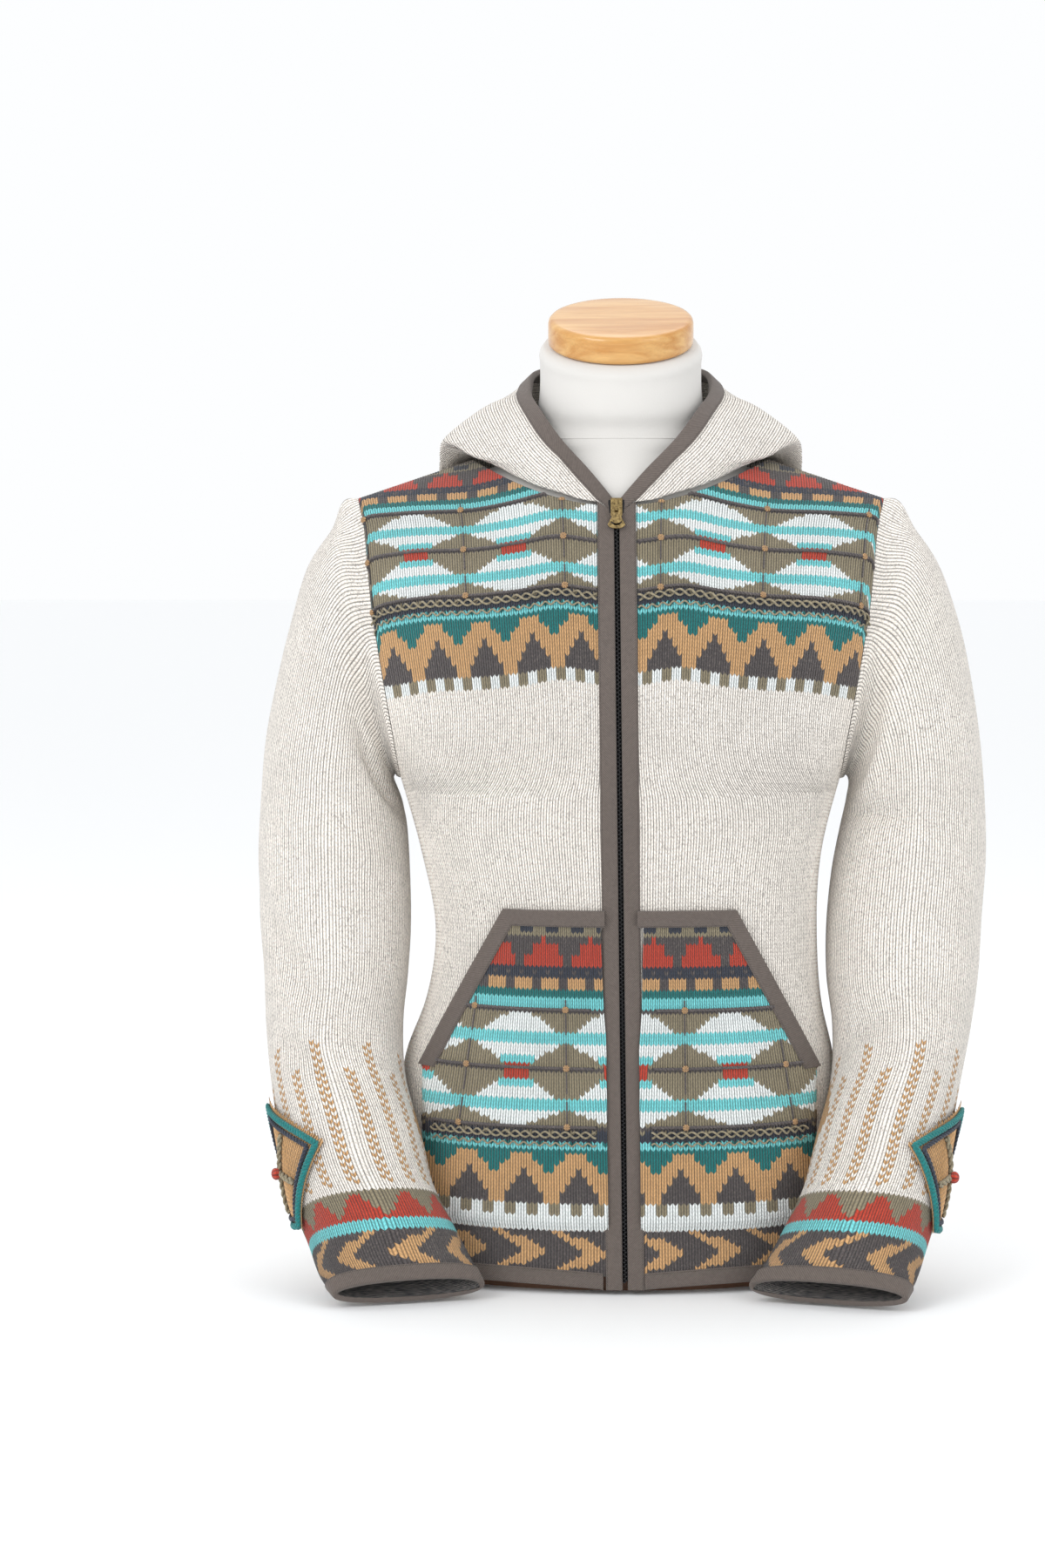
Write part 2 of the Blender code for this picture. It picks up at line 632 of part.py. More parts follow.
def build_patch(side, word, finish, outline_finish, bobble_finish):
    steps = 11
    first, second, spots, normal = patch_points(side, steps)
    ridge = np.exp(-((first / 0.22) ** 2)) + np.exp(-((second / 0.22) ** 2))
    rim = np.maximum(np.abs(first), np.abs(second))
    lift = PATCH_RAISE * np.clip(ridge, 0, 1) * np.clip((0.72 - rim) / 0.1, 0, 1)
    sheet = spots + normal * (PATCH_LAY + PATCH_WALL)
    raised = sheet + normal * lift[..., None]
    inner = spots + normal * PATCH_LAY
    slab("patch_" + word, raised, inner, finish)
    ring = []
    for k in range(4):
        line = np.arange(steps)
        edge = [(line, 0 * line), (0 * line + steps - 1, line)]
        edge += [(line[::-1], 0 * line + steps - 1), (0 * line, line[::-1])]
        ring.append(np.stack(edge[k], -1)[:-1])
    ring = np.concatenate(ring)
    middle = sheet[steps // 2, steps // 2]
    outer = sheet[ring[:, 0], ring[:, 1]]
    up = normal[ring[:, 0], ring[:, 1]]
    into = unit(middle - outer)
    into = unit(into - up * np.sum(into * up, -1, keepdims=True))
    low, high = LAY, LAY + OUTLINE_THICK
    corners = ((0.4, low), (0.4, high), (OUTLINE_WIDE, high), (OUTLINE_WIDE, low))
    rails = [outer + into * a + up * b for a, b in corners]
    swept("patch_outline_" + word, rails, outline_finish, closed=True)
    ball = bpy.data.meshes.new("patch_bobble_" + word)
    bm = bmesh.new()
    bmesh.ops.create_uvsphere(bm, u_segments=10, v_segments=6, radius=BOBBLE * MM)
    at = raised[steps // 2, steps // 2] + normal[steps // 2, steps // 2] * (BOBBLE * 0.75 + 0.4)
    facing = Vector(normal[steps // 2, steps // 2]).to_track_quat("Z", "Y").to_matrix().to_4x4()
    squash = Matrix.Diagonal((1, 1, 0.75, 1))
    bm.transform(Matrix.Translation(Vector(at * MM)) @ facing @ squash)
    bm.to_mesh(ball)
    bm.free()
    ball.shade_smooth()
    place(bpy.data.objects.new("patch_bobble_" + word, ball), bobble_finish)


def build_hood(knit, tape):
    stations = np.concatenate([[0, 0.366], np.linspace(0.8, 11.2, 33), [11.634, 12]])
    shares = np.array([0, 0.02, 0.06, 0.13, 0.22, 0.31, 0.4, 0.47, 0.53, 0.61, 0.71, 0.81, 0.91, 1])
    points = hood_surface(stations, shares)
    cloth("hood", points, knit)
    normal = grid_normals(points)
    strip = [points[-1], points[-2]]
    facing = [normal[-1], normal[-2]]
    binding("binding_hood", strip, facing, tape)


FRONT_TAPE_TOP = 572  # the front tapes end just under the hood's corners


def build_front_tape(fronts, tape):
    for side, word in ((1, "left"), (-1, "right")):
        points = fronts[side]
        normal = grid_normals(points) * side
        strip = cut_short([points[:, 0], points[:, 1]])
        facing = [normal[: len(strip[c]), c] for c in (0, 1)]
        binding("binding_front_" + word, strip, facing, tape, lean=False)


def cut_short(lines):
    """The front tape stops just short of the hood's corner."""
    kept = np.sum(lines[1][:, 2] < FRONT_TAPE_TOP - 3)
    made = []
    for line in lines:
        last = [np.interp(FRONT_TAPE_TOP, line[:, 2], line[:, k]) for k in range(3)]
        made.append(np.concatenate([line[:kept], [last]]))
    return made


def build_hem_tape(fronts, back, tape):
    """One length of tape round the whole hem, from one front tape to the other."""
    strips, facings = [], []
    for points, turn in ((fronts[1], 1), (back, 1), (fronts[-1], -1)):
        normal = grid_normals(points)[:2] * turn
        strips.append(points[:2] if turn > 0 else points[1::-1][::-1][:, ::-1])
        facings.append(normal if turn > 0 else normal[:, ::-1])
    strips[0], facings[0] = beside_front_tape(strips[0], facings[0])
    last, facing = beside_front_tape(strips[2][:, ::-1], facings[2][:, ::-1])
    strips[2], facings[2] = last[:, ::-1], facing[:, ::-1]
    binding("binding_hem", np.concatenate(strips, 1), np.concatenate(facings, 1), tape, lean=False)


def beside_front_tape(strip, facing):
    """The hem tape starts where the front tape ends, past the front's second column."""
    start = strip[:, 1] + unit(strip[:, 2] - strip[:, 1]) * (TAPE_THICK + TAPE_GAP)
    return np.concatenate([start[:, None], strip[:, 2:]], 1), facing[:, 1:]


def pocket_points(side, across, up):
    """A pocket from the panel's own points, moved out."""
    z = POCKET_FOOT + (POCKET_TOP - POCKET_FOOT) * up
    slant = np.clip((z - POCKET_TURN) / (POCKET_TOP - POCKET_TURN), 0, 1)
    out = POCKET_SIDE + (POCKET_CORNER - POCKET_SIDE) * slant
    start = POCKET_IN + side * zip_place(z)
    x = start[:, None] + (out - start)[:, None] * across[None, :]
    return side * x, z[:, None] + 0 * x


def build_pocket(side, word, knit, tape):
    turn_at = (POCKET_TURN - POCKET_FOOT) / (POCKET_TOP - POCKET_FOOT)
    up = np.array([0, 0.12, 0.24, 0.36, turn_at, 0.6, 0.72, 0.84, 0.955, 1.0])
    x, z = pocket_points(side, np.array([0, 0.12, 0.25, 0.38, 0.51, 0.64, 0.78, 0.9, 1]), up)
    slant = math.atan2(POCKET_SIDE - POCKET_CORNER, POCKET_TOP - POCKET_TURN)
    x[:, -2] = x[:, -1] - side * TAPE_WIDE / math.cos(slant)
    z[-2] = POCKET_TOP - TAPE_WIDE
    panel = front_point(x, z)
    normal = grid_normals(panel) * side
    points = panel + normal * (LAY + 0.8 + WALL)
    cloth("pocket_" + word, points, knit, normal)
    turn = 4
    strip, facing = [], []
    for field, kept in ((points, strip), (normal, facing)):
        outer = np.concatenate([field[turn:-2, -1], field[-1:, -1], field[-1, -3::-1]])
        inner = np.concatenate([field[turn:-2, -2], field[-2:-1, -2], field[-2, -3::-1]])
        kept += [outer, inner]
    binding("binding_pocket_" + word, strip, facing, tape, both=False)


def build_zip(tape_black, brass):
    """Two tapes behind the fronts, the closed teeth, the slider and its pull tab."""
    z = np.linspace(ZIP_LOW, ZIP_HIGH, 20)
    middle = zip_place(z)
    face = -SEAM - depth(middle, z)
    wall = WALL + TAPE_GAP + TAPE_THICK + 1.2
    for side, word in ((1, "left"), (-1, "right")):
        rails = []
        for out, back in ((0.3, wall), (13, wall), (13, wall + 0.7), (0.3, wall + 0.7)):
            x = middle + side * out
            y = -SEAM - depth(x, z) + back
            rails.append(np.stack([x, y, z], -1))
        swept("zip_tape_" + word, rails, tape_black)
    rails = []
    for out, back in ((-1.5, -0.4), (1.5, -0.4), (1.5, wall - 0.35), (-1.5, wall - 0.35)):
        rails.append(np.stack([middle + out, face + back, z], -1))
    swept("zip_teeth", rails, tape_black)
    build_slider(brass)


SLIDER_FOOT, SLIDER_HEAD = 575, 588.5  # heights
SLIDER_HALF = 4.2
PLATE = 1.3  # thickness of the slider's front plate
SLIDER_FRONT = -1.75  # how far the plate's back stands before the teeth
BAIL_HALF = 1.0
PULL_BAR = 0.7
BAR_CLEAR = 1.35  # from the pull's axis to the plate and to the bail


def slider_frame():
    """Middle and teeth face at the slider, and how far the chest leans there."""
    z = (SLIDER_FOOT + SLIDER_HEAD) / 2
    x = float(zip_place(z))
    y = float(-SEAM - depth(np.array(x), np.array(z)))
    step = 8.0
    above = float(-SEAM - depth(np.array(x), np.array(z + step)))
    below = float(-SEAM - depth(np.array(x), np.array(z - step)))
    return np.array([x, y, z]), math.atan2(above - below, 2 * step)


def build_slider(brass):
    centre, lean = slider_frame()
    frame = Matrix.Translation(Vector(centre * MM)) @ Matrix.Rotation(-lean, 4, "X")
    half_high = (SLIDER_HEAD - SLIDER_FOOT) / 2
    front = SLIDER_FRONT
    body = box("zip_slider", (0, front - PLATE / 2, 0), (SLIDER_HALF * 2, PLATE, half_high * 2), brass)
    body.matrix_world = frame
    lower, upper, reach, thick = -3.6, 5.4, 3.9, 1.2
    outline = ((0, lower - 0.2), (-reach, lower - 0.2), (-reach, upper), (0, upper))
    inside = ((0, lower + thick), (-reach + thick, lower + thick), (-reach + thick, upper - thick),
              (0, upper - thick))
    sections = []
    for x in (-BAIL_HALF, BAIL_HALF):
        for line in (outline, inside):
            sections.append(np.array([(x, front - PLATE + 0.2 + y, z) for y, z in line]))
    bail = swept("bail", [sections[0], sections[2], sections[3], sections[1]], brass)
    bail.matrix_world = frame
    joined(body, bail)
    bar_y = front - PLATE - BAR_CLEAR
    bar_z = lower + thick + BAR_CLEAR
    build_pull(frame, bar_y, bar_z, brass)


def joined(keep, add):
    """One solid of two that meet, by a Boolean union."""
    union = keep.modifiers.new("join", "BOOLEAN")
    union.operation = "UNION"
    union.solver = "EXACT"
    union.object = add
    for owner in list(add.users_collection):
        owner.objects.unlink(add)
    cutters.objects.link(add)
    add.hide_render = True
    add.display_type = "WIRE"


def box(name, middle, size, finish):
    mesh = bpy.data.meshes.new(name)
    bm = bmesh.new()
    scale = Matrix.Diagonal((*[s * MM for s in size], 1))
    bmesh.ops.create_cube(bm, size=1, matrix=Matrix.Translation(Vector(middle) * MM) @ scale)
    bm.to_mesh(mesh)
    bm.free()
    return place(bpy.data.objects.new(name, mesh), finish)


PULL_TOP, PULL_FOOT, PULL_THICK = 3.3, 6.4, 1.5  # half widths and thickness
PULL_SLOT = 4.0  # how far below its bar the pull's upper slot reaches


def build_pull(frame, bar_y, bar_z, brass):
    """The pull tab: a bar through the slider's bail, two arms and a flared plate."""
    outline = [(-PULL_TOP, PULL_BAR), (PULL_TOP, PULL_BAR), (PULL_TOP, -5.5)]
    outline += [(PULL_TOP + 0.5, -8), (PULL_FOOT, -13)]
    turns = np.radians(np.linspace(0, 180, 9))
    outline += [(PULL_FOOT * math.cos(t), -13 - 3 * math.sin(t)) for t in turns[1:-1]]
    outline += [(-PULL_FOOT, -13), (-PULL_TOP - 0.5, -8), (-PULL_TOP, -5.5)]
    slot = [(-BAIL_HALF - 0.45, -PULL_BAR), (BAIL_HALF + 0.45, -PULL_BAR)]
    slot += [(BAIL_HALF + 0.45, -PULL_SLOT), (-BAIL_HALF - 0.45, -PULL_SLOT)]
    turns = np.radians(np.linspace(200, 340, 7))
    window = [(4.6 * math.cos(t), -9.2 + 4.6 * math.sin(t)) for t in turns]
    window += [(3.6 * math.cos(t), -9.6 + 2.6 * math.sin(t)) for t in turns[::-1]]
    curve = bpy.data.curves.new("zip_pull", "CURVE")
    curve.dimensions = "2D"
    curve.fill_mode = "BOTH"
    curve.extrude = PULL_THICK / 2 * MM
    for line in (outline, slot, window):
        spline = curve.splines.new("POLY")
        spline.points.add(len(line) - 1)
        for point, (x, z) in zip(spline.points, line):
            point.co = (x * MM, z * MM, 0, 1)
        spline.use_cyclic_u = True
    pull = place(bpy.data.objects.new("zip_pull", curve), brass)
    place_bar = Matrix.Translation(Vector((0, bar_y, bar_z)) * MM)
    pull.matrix_world = frame @ place_bar @ Matrix.Rotation(math.pi / 2, 4, "X")


def build_form(jersey, wood, board_wood):
    """A padded torso with no limbs, its wooden neck cap, and the board it stands on."""
    around = np.linspace(0, 2 * math.pi, 25)[:-1]
    levels = [BOARD_THICK + 0.3, 60, 120, 165, 205, 256, 300, 345, 390, 430, 470, 505, 535]
    levels += [558, 576, 590, 601, 610, 617]
    rings = []
    for z in levels:
        ease = FORM_EASE + 4 * np.clip((520 - z) / 300, 0, 1) + 0.4 * max(z - 598, 0)
        half = float(ring_sizes(z)[0]) - ease
        if z > UNDERARM - 30:
            half = min(half, float(armhole_out(max(z, UNDERARM))) - 9)
        reach = TIP_OUT - 9
        top_out = NECK_OUT + (NECK_HEIGHT - ease - z) * (TIP_OUT - NECK_OUT) / (NECK_HEIGHT - TIP_HEIGHT)
        half = min(half, max(top_out, 96), reach)
        shift = float(ring_sizes(z)[3])
        x = half * np.sign(np.sin(around)) * np.abs(np.sin(around)) ** (2 / ROUND)
        front = depth(x * 0.985 + shift, z + 0 * x, ease=ease)
        behind = depth(x * 0.985 + shift, z + 0 * x, behind=True, ease=ease)
        round_off = np.sqrt(np.clip(1 - (np.abs(x) / (half + 0.01)) ** 6, 0, 1))
        face = np.where(np.cos(around) > 0, -front, behind) * round_off
        rings.append(np.stack([x + shift, face, z + 0 * x], -1))
    slant = math.tan(math.radians(CAP_TILT))
    for z, wide, deep, tip in ((630, 78, 56, 0.03), (645, 66, 54, 0.1), (664, 62, 59, 0.22),
                               (NECK_TOP - 14, NECK_WIDE, NECK_DEEP, 0.33),
                               (NECK_TOP - 4, NECK_WIDE, NECK_DEEP, slant),
                               (NECK_TOP, NECK_WIDE - 3, NECK_DEEP - 3, slant)):
        x = wide * np.sin(around)
        y = NECK_SET - deep * np.cos(around)
        rings.append(np.stack([x, y, z + (y - NECK_SET) * tip], -1))
    points = np.array(rings)
    swept_form("form_torso", points, jersey)
    cap = bpy.data.meshes.new("form_neck_cap")
    bm = bmesh.new()
    bmesh.ops.create_cone(bm, cap_ends=True, segments=32, radius1=CAP_RADIUS * MM,
                          radius2=(CAP_RADIUS - 0.8) * MM, depth=CAP_THICK * MM)
    bm.to_mesh(cap)
    bm.free()
    made = place(bpy.data.objects.new("form_neck_cap", cap), wood)
    tilt = Matrix.Rotation(math.radians(CAP_TILT), 4, "X")
    at = Vector((0, NECK_SET, NECK_TOP)) * MM
    lift = Vector((0, 0, (CAP_THICK / 2 + 0.4) * MM))
    made.matrix_world = Matrix.Translation(at) @ tilt @ Matrix.Translation(lift)
    round_edges(made, CAP_ROUND)
    edge = np.radians(np.arange(0, 360, 9.0))
    x = BOARD_HALF_WIDE * np.sign(np.sin(edge)) * np.abs(np.sin(edge)) ** (2 / ROUND)
    y = -BOARD_HALF_DEEP * np.sign(np.cos(edge)) * np.abs(np.cos(edge)) ** (2 / ROUND)
    curve = bpy.data.curves.new("form_base", "CURVE")
    curve.dimensions = "2D"
    curve.fill_mode = "BOTH"
    curve.extrude = BOARD_THICK / 2 * MM
    spline = curve.splines.new("POLY")
    spline.points.add(len(x) - 1)
    for point, a, b in zip(spline.points, x, y):
        point.co = (a * MM, b * MM, 0, 1)
    spline.use_cyclic_u = True
    base = place(bpy.data.objects.new("form_base", curve), board_wood)
    base.location.z = BOARD_THICK / 2 * MM


def round_edges(made, radius):
    bevel = made.modifiers.new("round", "BEVEL")
    bevel.width = radius * MM
    bevel.segments = 2
    bevel.limit_method = "ANGLE"
    bevel.angle_limit = math.radians(40)


def swept_form(name, points, finish):
    """A closed body from level rings, with flat ends."""
    rows, columns = points.shape[:2]
    mesh = sheet_mesh(name, points, closed=True)
    bm = bmesh.new()
    bm.from_mesh(mesh)
    bm.verts.ensure_lookup_table()
    bm.faces.new([bm.verts[c] for c in range(columns)])
    bm.faces.new([bm.verts[(rows - 1) * columns + c] for c in range(columns)])
    bmesh.ops.recalc_face_normals(bm, faces=bm.faces)
    bm.to_mesh(mesh)
    bm.free()
    mesh.shade_smooth()
    return place(bpy.data.objects.new(name, mesh), finish)


def main():
    clear_scene()
    knit = material("cream_knit", "E6DFD8", 0.9)
    tape = material("taupe_twill_tape", "706660", 0.85)
    patterned = material("patterned_knit", "C3B49F", 0.9)
    patch_finish = material("tan_knit_patch", "C0905F", 0.9)
    outline_finish = material("teal_crochet", "0F6B6E", 0.9)
    bobble_finish = material("rust_wool", "B43C28", 0.9)
    black = material("black_zip_tape", "1C1C1E", 0.8)
    brass = material("antique_brass", "8C7A55", 0.35, 0.9)
    jersey = material("jersey_cover", "E8E6E4", 0.85)
    wood = material("varnished_wood", "DEAA64", 0.35)
    board_wood = material("brown_board", "6B4A33", 0.6)
    fronts, back = build_panels(knit)
    for side, word in ((1, "left"), (-1, "right")):
        build_sleeve(side, word, knit, tape, patch_finish, outline_finish, bobble_finish)
        build_pocket(side, word, patterned, tape)
    build_hood(knit, tape)
    build_front_tape(fronts, tape)
    build_hem_tape(fronts, back, tape)
    build_zip(black, brass)
    build_form(jersey, wood, board_wood)


main()
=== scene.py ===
"""The looks of a hooded, zipped knit cardigan worn by a limbless dress form.

Lengths in this file are millimetres until a mesh is made, which turns them to the
frame's metres. The front faces -Y and the wearer's left is +X.
"""

import math

import bpy
import numpy as np
from mathutils import Matrix, Vector


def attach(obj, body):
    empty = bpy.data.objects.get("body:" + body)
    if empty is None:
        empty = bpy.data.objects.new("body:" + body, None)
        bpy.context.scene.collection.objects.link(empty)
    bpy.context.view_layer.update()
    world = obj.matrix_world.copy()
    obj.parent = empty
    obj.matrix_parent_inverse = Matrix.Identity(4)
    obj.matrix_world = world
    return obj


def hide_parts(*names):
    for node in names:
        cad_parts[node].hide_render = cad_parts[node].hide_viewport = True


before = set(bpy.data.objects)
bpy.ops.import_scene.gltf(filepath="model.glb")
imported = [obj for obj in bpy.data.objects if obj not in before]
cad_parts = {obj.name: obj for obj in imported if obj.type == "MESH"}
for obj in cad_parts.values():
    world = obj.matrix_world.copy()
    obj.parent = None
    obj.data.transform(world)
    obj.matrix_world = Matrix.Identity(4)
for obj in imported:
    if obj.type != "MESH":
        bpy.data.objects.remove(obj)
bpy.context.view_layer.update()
BODY_NAME = "cardigan_on_form"

# Camera, floor and light. A long lens in front of the zip, a pale table, and large
# soft lamps from both sides, as in a product photograph.
camera_data = bpy.data.cameras.new("camera")
camera_data.sensor_fit = "VERTICAL"
camera_data.sensor_height = 36
camera_data.lens = 74.96  # mm, on a sensor 36 mm high
camera = bpy.data.objects.new("camera", camera_data)
bpy.context.scene.collection.objects.link(camera)
FOCAL, PHOTO_ASIDE, PHOTO_DOWN = 3748, 112, 275  # pixels of the photograph
turn = Matrix.Rotation(math.atan(PHOTO_ASIDE / FOCAL), 4, "Z")
nod = Matrix.Rotation(math.pi / 2 - math.atan(PHOTO_DOWN / FOCAL), 4, "X")
camera.matrix_world = Matrix.Translation((0, -2.5, 0.555)) @ turn @ nod
bpy.context.scene.camera = camera


def linear(colour):
    """An sRGB colour in hex as linear RGB and alpha."""
    channels = [int(colour[i : i + 2], 16) / 255 for i in (0, 2, 4)]
    made = [((c + 0.055) / 1.055) ** 2.4 if c > 0.04045 else c / 12.92 for c in channels]
    return (*made, 1.0)


def feed(node, *values, **inputs):
    """Gives a node's sockets, in order or by name or number, a value or a node's result."""
    for key, value in [*enumerate(values), *inputs.items()]:
        if not isinstance(key, int):
            key = int(key[1:]) if key[0] == "_" else key.replace("_", " ")
        if isinstance(value, bpy.types.Node):
            value = value.outputs[0]
        if isinstance(value, bpy.types.NodeSocket):
            node.id_data.links.new(value, node.inputs[key])
        else:
            node.inputs[key].default_value = value
    return node


def add(tree, kind, settings=None, *values, **inputs):
    """A shader node, its settings or its operation's name, and what feeds its sockets."""
    made = tree.nodes.new("ShaderNode" + kind)
    settings = {"operation": settings} if isinstance(settings, str) else dict(settings or {})
    for i, (place, colour) in enumerate(settings.pop("stops", ())):
        made.color_ramp.elements[i].position = place
        made.color_ramp.elements[i].color = linear(colour)
    for key, value in settings.items():
        setattr(made, key, value)
    return feed(made, *values, **inputs)


def blank(name):
    """A material with an empty Principled surface, and that surface's node."""
    made = bpy.data.materials.new(name)
    made.use_nodes = True
    return made, made.node_tree, made.node_tree.nodes["Principled BSDF"]


floor_mesh = bpy.data.meshes.new("table_top")
REACH = 30  # metres, past what any view shows
corners = [(-REACH, -REACH, 0), (REACH, -REACH, 0), (REACH, REACH, 0), (-REACH, REACH, 0)]
floor_mesh.from_pydata(corners, [], [(0, 1, 2, 3)])
floor = bpy.data.objects.new("table_top", floor_mesh)
bpy.context.scene.collection.objects.link(floor)
table, tree, shader = blank("matt_white_table")
feed(shader, Base_Color=linear("FBFCFD"), Roughness=0.7)
floor_mesh.materials.append(table)

world = bpy.data.worlds.new("studio")
world.use_nodes = True
feed(world.node_tree.nodes["Background"], Color=linear("FDFEFF"), Strength=1.0)
bpy.context.scene.world = world
for name, place, size, power in (
    ("key_lamp", (-1.7, -2.1, 1.9), 1.4, 26),
    ("fill_lamp", (1.9, -1.9, 1.5), 1.6, 9),
    ("top_lamp", (0.2, 0.6, 2.3), 1.4, 6),
):
    data = bpy.data.lights.new(name, "AREA")
    data.size = size
    data.energy = power
    lamp = bpy.data.objects.new(name, data)
    bpy.context.scene.collection.objects.link(lamp)
    lamp.location = place
    aim = Vector((0, 0, 0.35)) - lamp.location
    lamp.rotation_euler = aim.to_track_quat("-Z", "Y").to_euler()
bpy.context.scene.view_settings.view_transform = "Standard"

# Shape of the garment's body. The same rings, shoulder slope and edges as the
# solids, so that each knitted piece lies where its solid does.
MM = 0.001
WALL, SEAM, LAY = 2.2, 0.4, 0.5
TAPE_WIDE, TAPE_THICK, TAPE_GAP = 10.5, 0.9, 0.45
RINGS = (  # height, half width, front depth, back depth, shift to the wearer's left
    (0, 168, 113, 112, 0),
    (90, 167, 109, 106, 0),
    (165, 164, 105, 99, 0),
    (205, 152, 101, 93, 3),
    (256, 146, 98, 85, 5),
    (322, 153, 105, 88, 1),
    (376, 167, 118, 94, 0),
    (430, 184, 124, 100, 0),
    (500, 197, 118, 104, 0),
    (560, 207, 103, 98, 0),
    (640, 215, 80, 80, 0),
)
ROUND = 2.4  # power of each ring's rounded outline
SIDES = ((1, "left"), (-1, "right"))
UNDERARM, TIP_HEIGHT, TIP_OUT = 377, 590, 200
NECK_HEIGHT, NECK_OUT, ROLL_OVER = 621, 108, 150
FRONT_NECK, NECK_DIP, CORNER_OUT, BACK_NECK = 584, 11, 3.35, 630
HEM_LOW, HEM_RISE = 4, 5
ZIP_FOOT, ZIP_LEAN = 5.0, -0.0135
ARMHOLE = ((377, 167), (404, 170), (443, 176), (472, 181), (508, 187), (540, 190.5), (573, 195), (590, 200))


def through(keys, values, at):
    """A smooth line through keyed values, read at each place in at."""
    keys = np.asarray(keys, float)
    values = np.asarray(values, float)
    slope = np.gradient(values, keys, axis=0)
    at = np.clip(np.asarray(at, float), keys[0], keys[-1])
    i = np.clip(np.searchsorted(keys, at) - 1, 0, len(keys) - 2)
    span = keys[i + 1] - keys[i]
    t = (at - keys[i]) / span
    if values.ndim > 1:
        extra = (1,) * (values.ndim - 1)
        t = t.reshape(t.shape + extra)
        span = span.reshape(span.shape + extra)
    first = (2 * t**3 - 3 * t**2 + 1) * values[i] + (t**3 - 2 * t**2 + t) * span * slope[i]
    second = (3 * t**2 - 2 * t**3) * values[i + 1] + (t**3 - t**2) * span * slope[i + 1]
    return first + second


def unit(v):
    return v / np.maximum(np.linalg.norm(v, axis=-1, keepdims=True), 1e-9)


def distance_along(line):
    """How far along a line each of its points lies, or along each of many lines."""
    steps = np.linalg.norm(np.diff(line, axis=0), axis=-1)
    return np.concatenate([0 * steps[:1], np.cumsum(steps, axis=0)])


def at_distance(want, run, line):
    """Points of a line at some distances along it."""
    return np.stack([np.interp(want, run, line[:, i]) for i in range(3)], -1)


def ring_sizes(z):
    table = np.array(RINGS, float)
    return np.moveaxis(through(table[:, 0], table[:, 1:], z), -1, 0)


def shoulder_height(x):
    x = np.abs(x)
    slope = (NECK_HEIGHT - TIP_HEIGHT) / (TIP_OUT - NECK_OUT)
    inside = np.clip(1 - x / NECK_OUT, 0, 1)
    return NECK_HEIGHT - (x - NECK_OUT) * slope + 90 * inside**1.5


def depth(x, z, behind=False, ease=0.0):
    half, front, back, shift = ring_sizes(z)
    deep = (back if behind else front) - ease
    across = np.clip(np.abs(x - shift) / (half - ease), 0, 1)
    flat = deep * (1 - across**ROUND) ** (1 / ROUND)
    climb = np.clip((z - shoulder_height(x) + ease + ROLL_OVER) / ROLL_OVER, 0, 1)
    return flat * np.sqrt(np.clip(1 - climb**2.2, 0, 1))


def front_point(x, z):
    return np.stack([x, -SEAM - depth(x, z), z + 0 * x], -1)


def back_point(x, z):
    return np.stack([x, SEAM + depth(x, z, behind=True), z + 0 * x], -1)


def armhole_out(z):
    return through(*np.array(ARMHOLE).T, z)


def edge_out(z):
    half = ring_sizes(z)[0]
    return np.where(z < UNDERARM, half, np.minimum(armhole_out(z), half))


def zip_place(z):
    return ZIP_FOOT + ZIP_LEAN * z


def hem_height(across):
    return HEM_LOW + HEM_RISE * np.sin(np.pi * np.clip(across, 0, 1) ** 0.8)


def front_top(x):
    out = np.abs(x - zip_place(FRONT_NECK) * np.clip(1 - np.abs(x) / NECK_OUT, 0, 1))
    reach = np.clip((out - 10) / (NECK_OUT - 10), 0, 1)
    dip = NECK_DIP * np.clip(1 - (out - CORNER_OUT) / TAPE_WIDE, 0, 1)
    inside = FRONT_NECK + (NECK_HEIGHT - FRONT_NECK) * reach**1.7 - dip
    return np.where(np.abs(x) < NECK_OUT, inside, shoulder_height(x))


def back_top(x):
    reach = np.clip(np.abs(x) / NECK_OUT, 0, 1)
    inside = BACK_NECK - (BACK_NECK - NECK_HEIGHT) * reach**3
    return np.where(np.abs(x) < NECK_OUT, inside, shoulder_height(x))


def share_table(side):
    """How far out each share of a piece lies, at heights 10 mm apart."""
    shares = np.linspace(0, 1, 101)
    table = []
    for h in np.linspace(0, 640, 65):
        half, front, back, shift = ring_sizes(h)
        start = side * (zip_place(h) - shift) + CORNER_OUT if side else 0.0
        edge = float(edge_out(h))
        first = math.asin(min(start / half, 1) ** (ROUND / 2)) if start > 0 else 0.0
        angle = np.linspace(first, math.asin(min(edge / half, 1) ** (ROUND / 2)), 400)
        x = half * np.sin(angle) ** (2 / ROUND)
        y = (front if side else back) * np.cos(angle) ** (2 / ROUND)
        run = np.concatenate([[0], np.cumsum(np.hypot(np.diff(x), np.diff(y)))])
        along = np.interp(shares * run[-1], run, x)
        flat = np.clip((h - 330) / 110, 0, 1)
        flat = flat * flat * (3 - 2 * flat)
        table.append((start + (edge - start) * shares) * flat + along * (1 - flat))
    return np.array(table)


SHARES = {side: share_table(side) for side in (1, -1, 0)}
LAST_SHARE = 0.9999  # shares past this are a piece's sewn edge


def out_across(share, z, side):
    """How far out a share of a front (side 1 or -1) or of half the back (0) lies.

    Shares are even along the ring near the waist, and even as seen from the front in
    the yoke, as the photographed columns of stitches are.
    """
    table = SHARES[side]
    i = np.clip(z / 10, 0, 63.999)
    j = np.clip(share * 100, 0, 99.999)
    i0, j0 = i.astype(int), j.astype(int)
    a, b = i - i0, j - j0
    low = table[i0, j0] * (1 - b) + table[i0, j0 + 1] * b
    high = table[i0 + 1, j0] * (1 - b) + table[i0 + 1, j0 + 1] * b
    return np.where(share > LAST_SHARE, edge_out(z), low * (1 - a) + high * a)


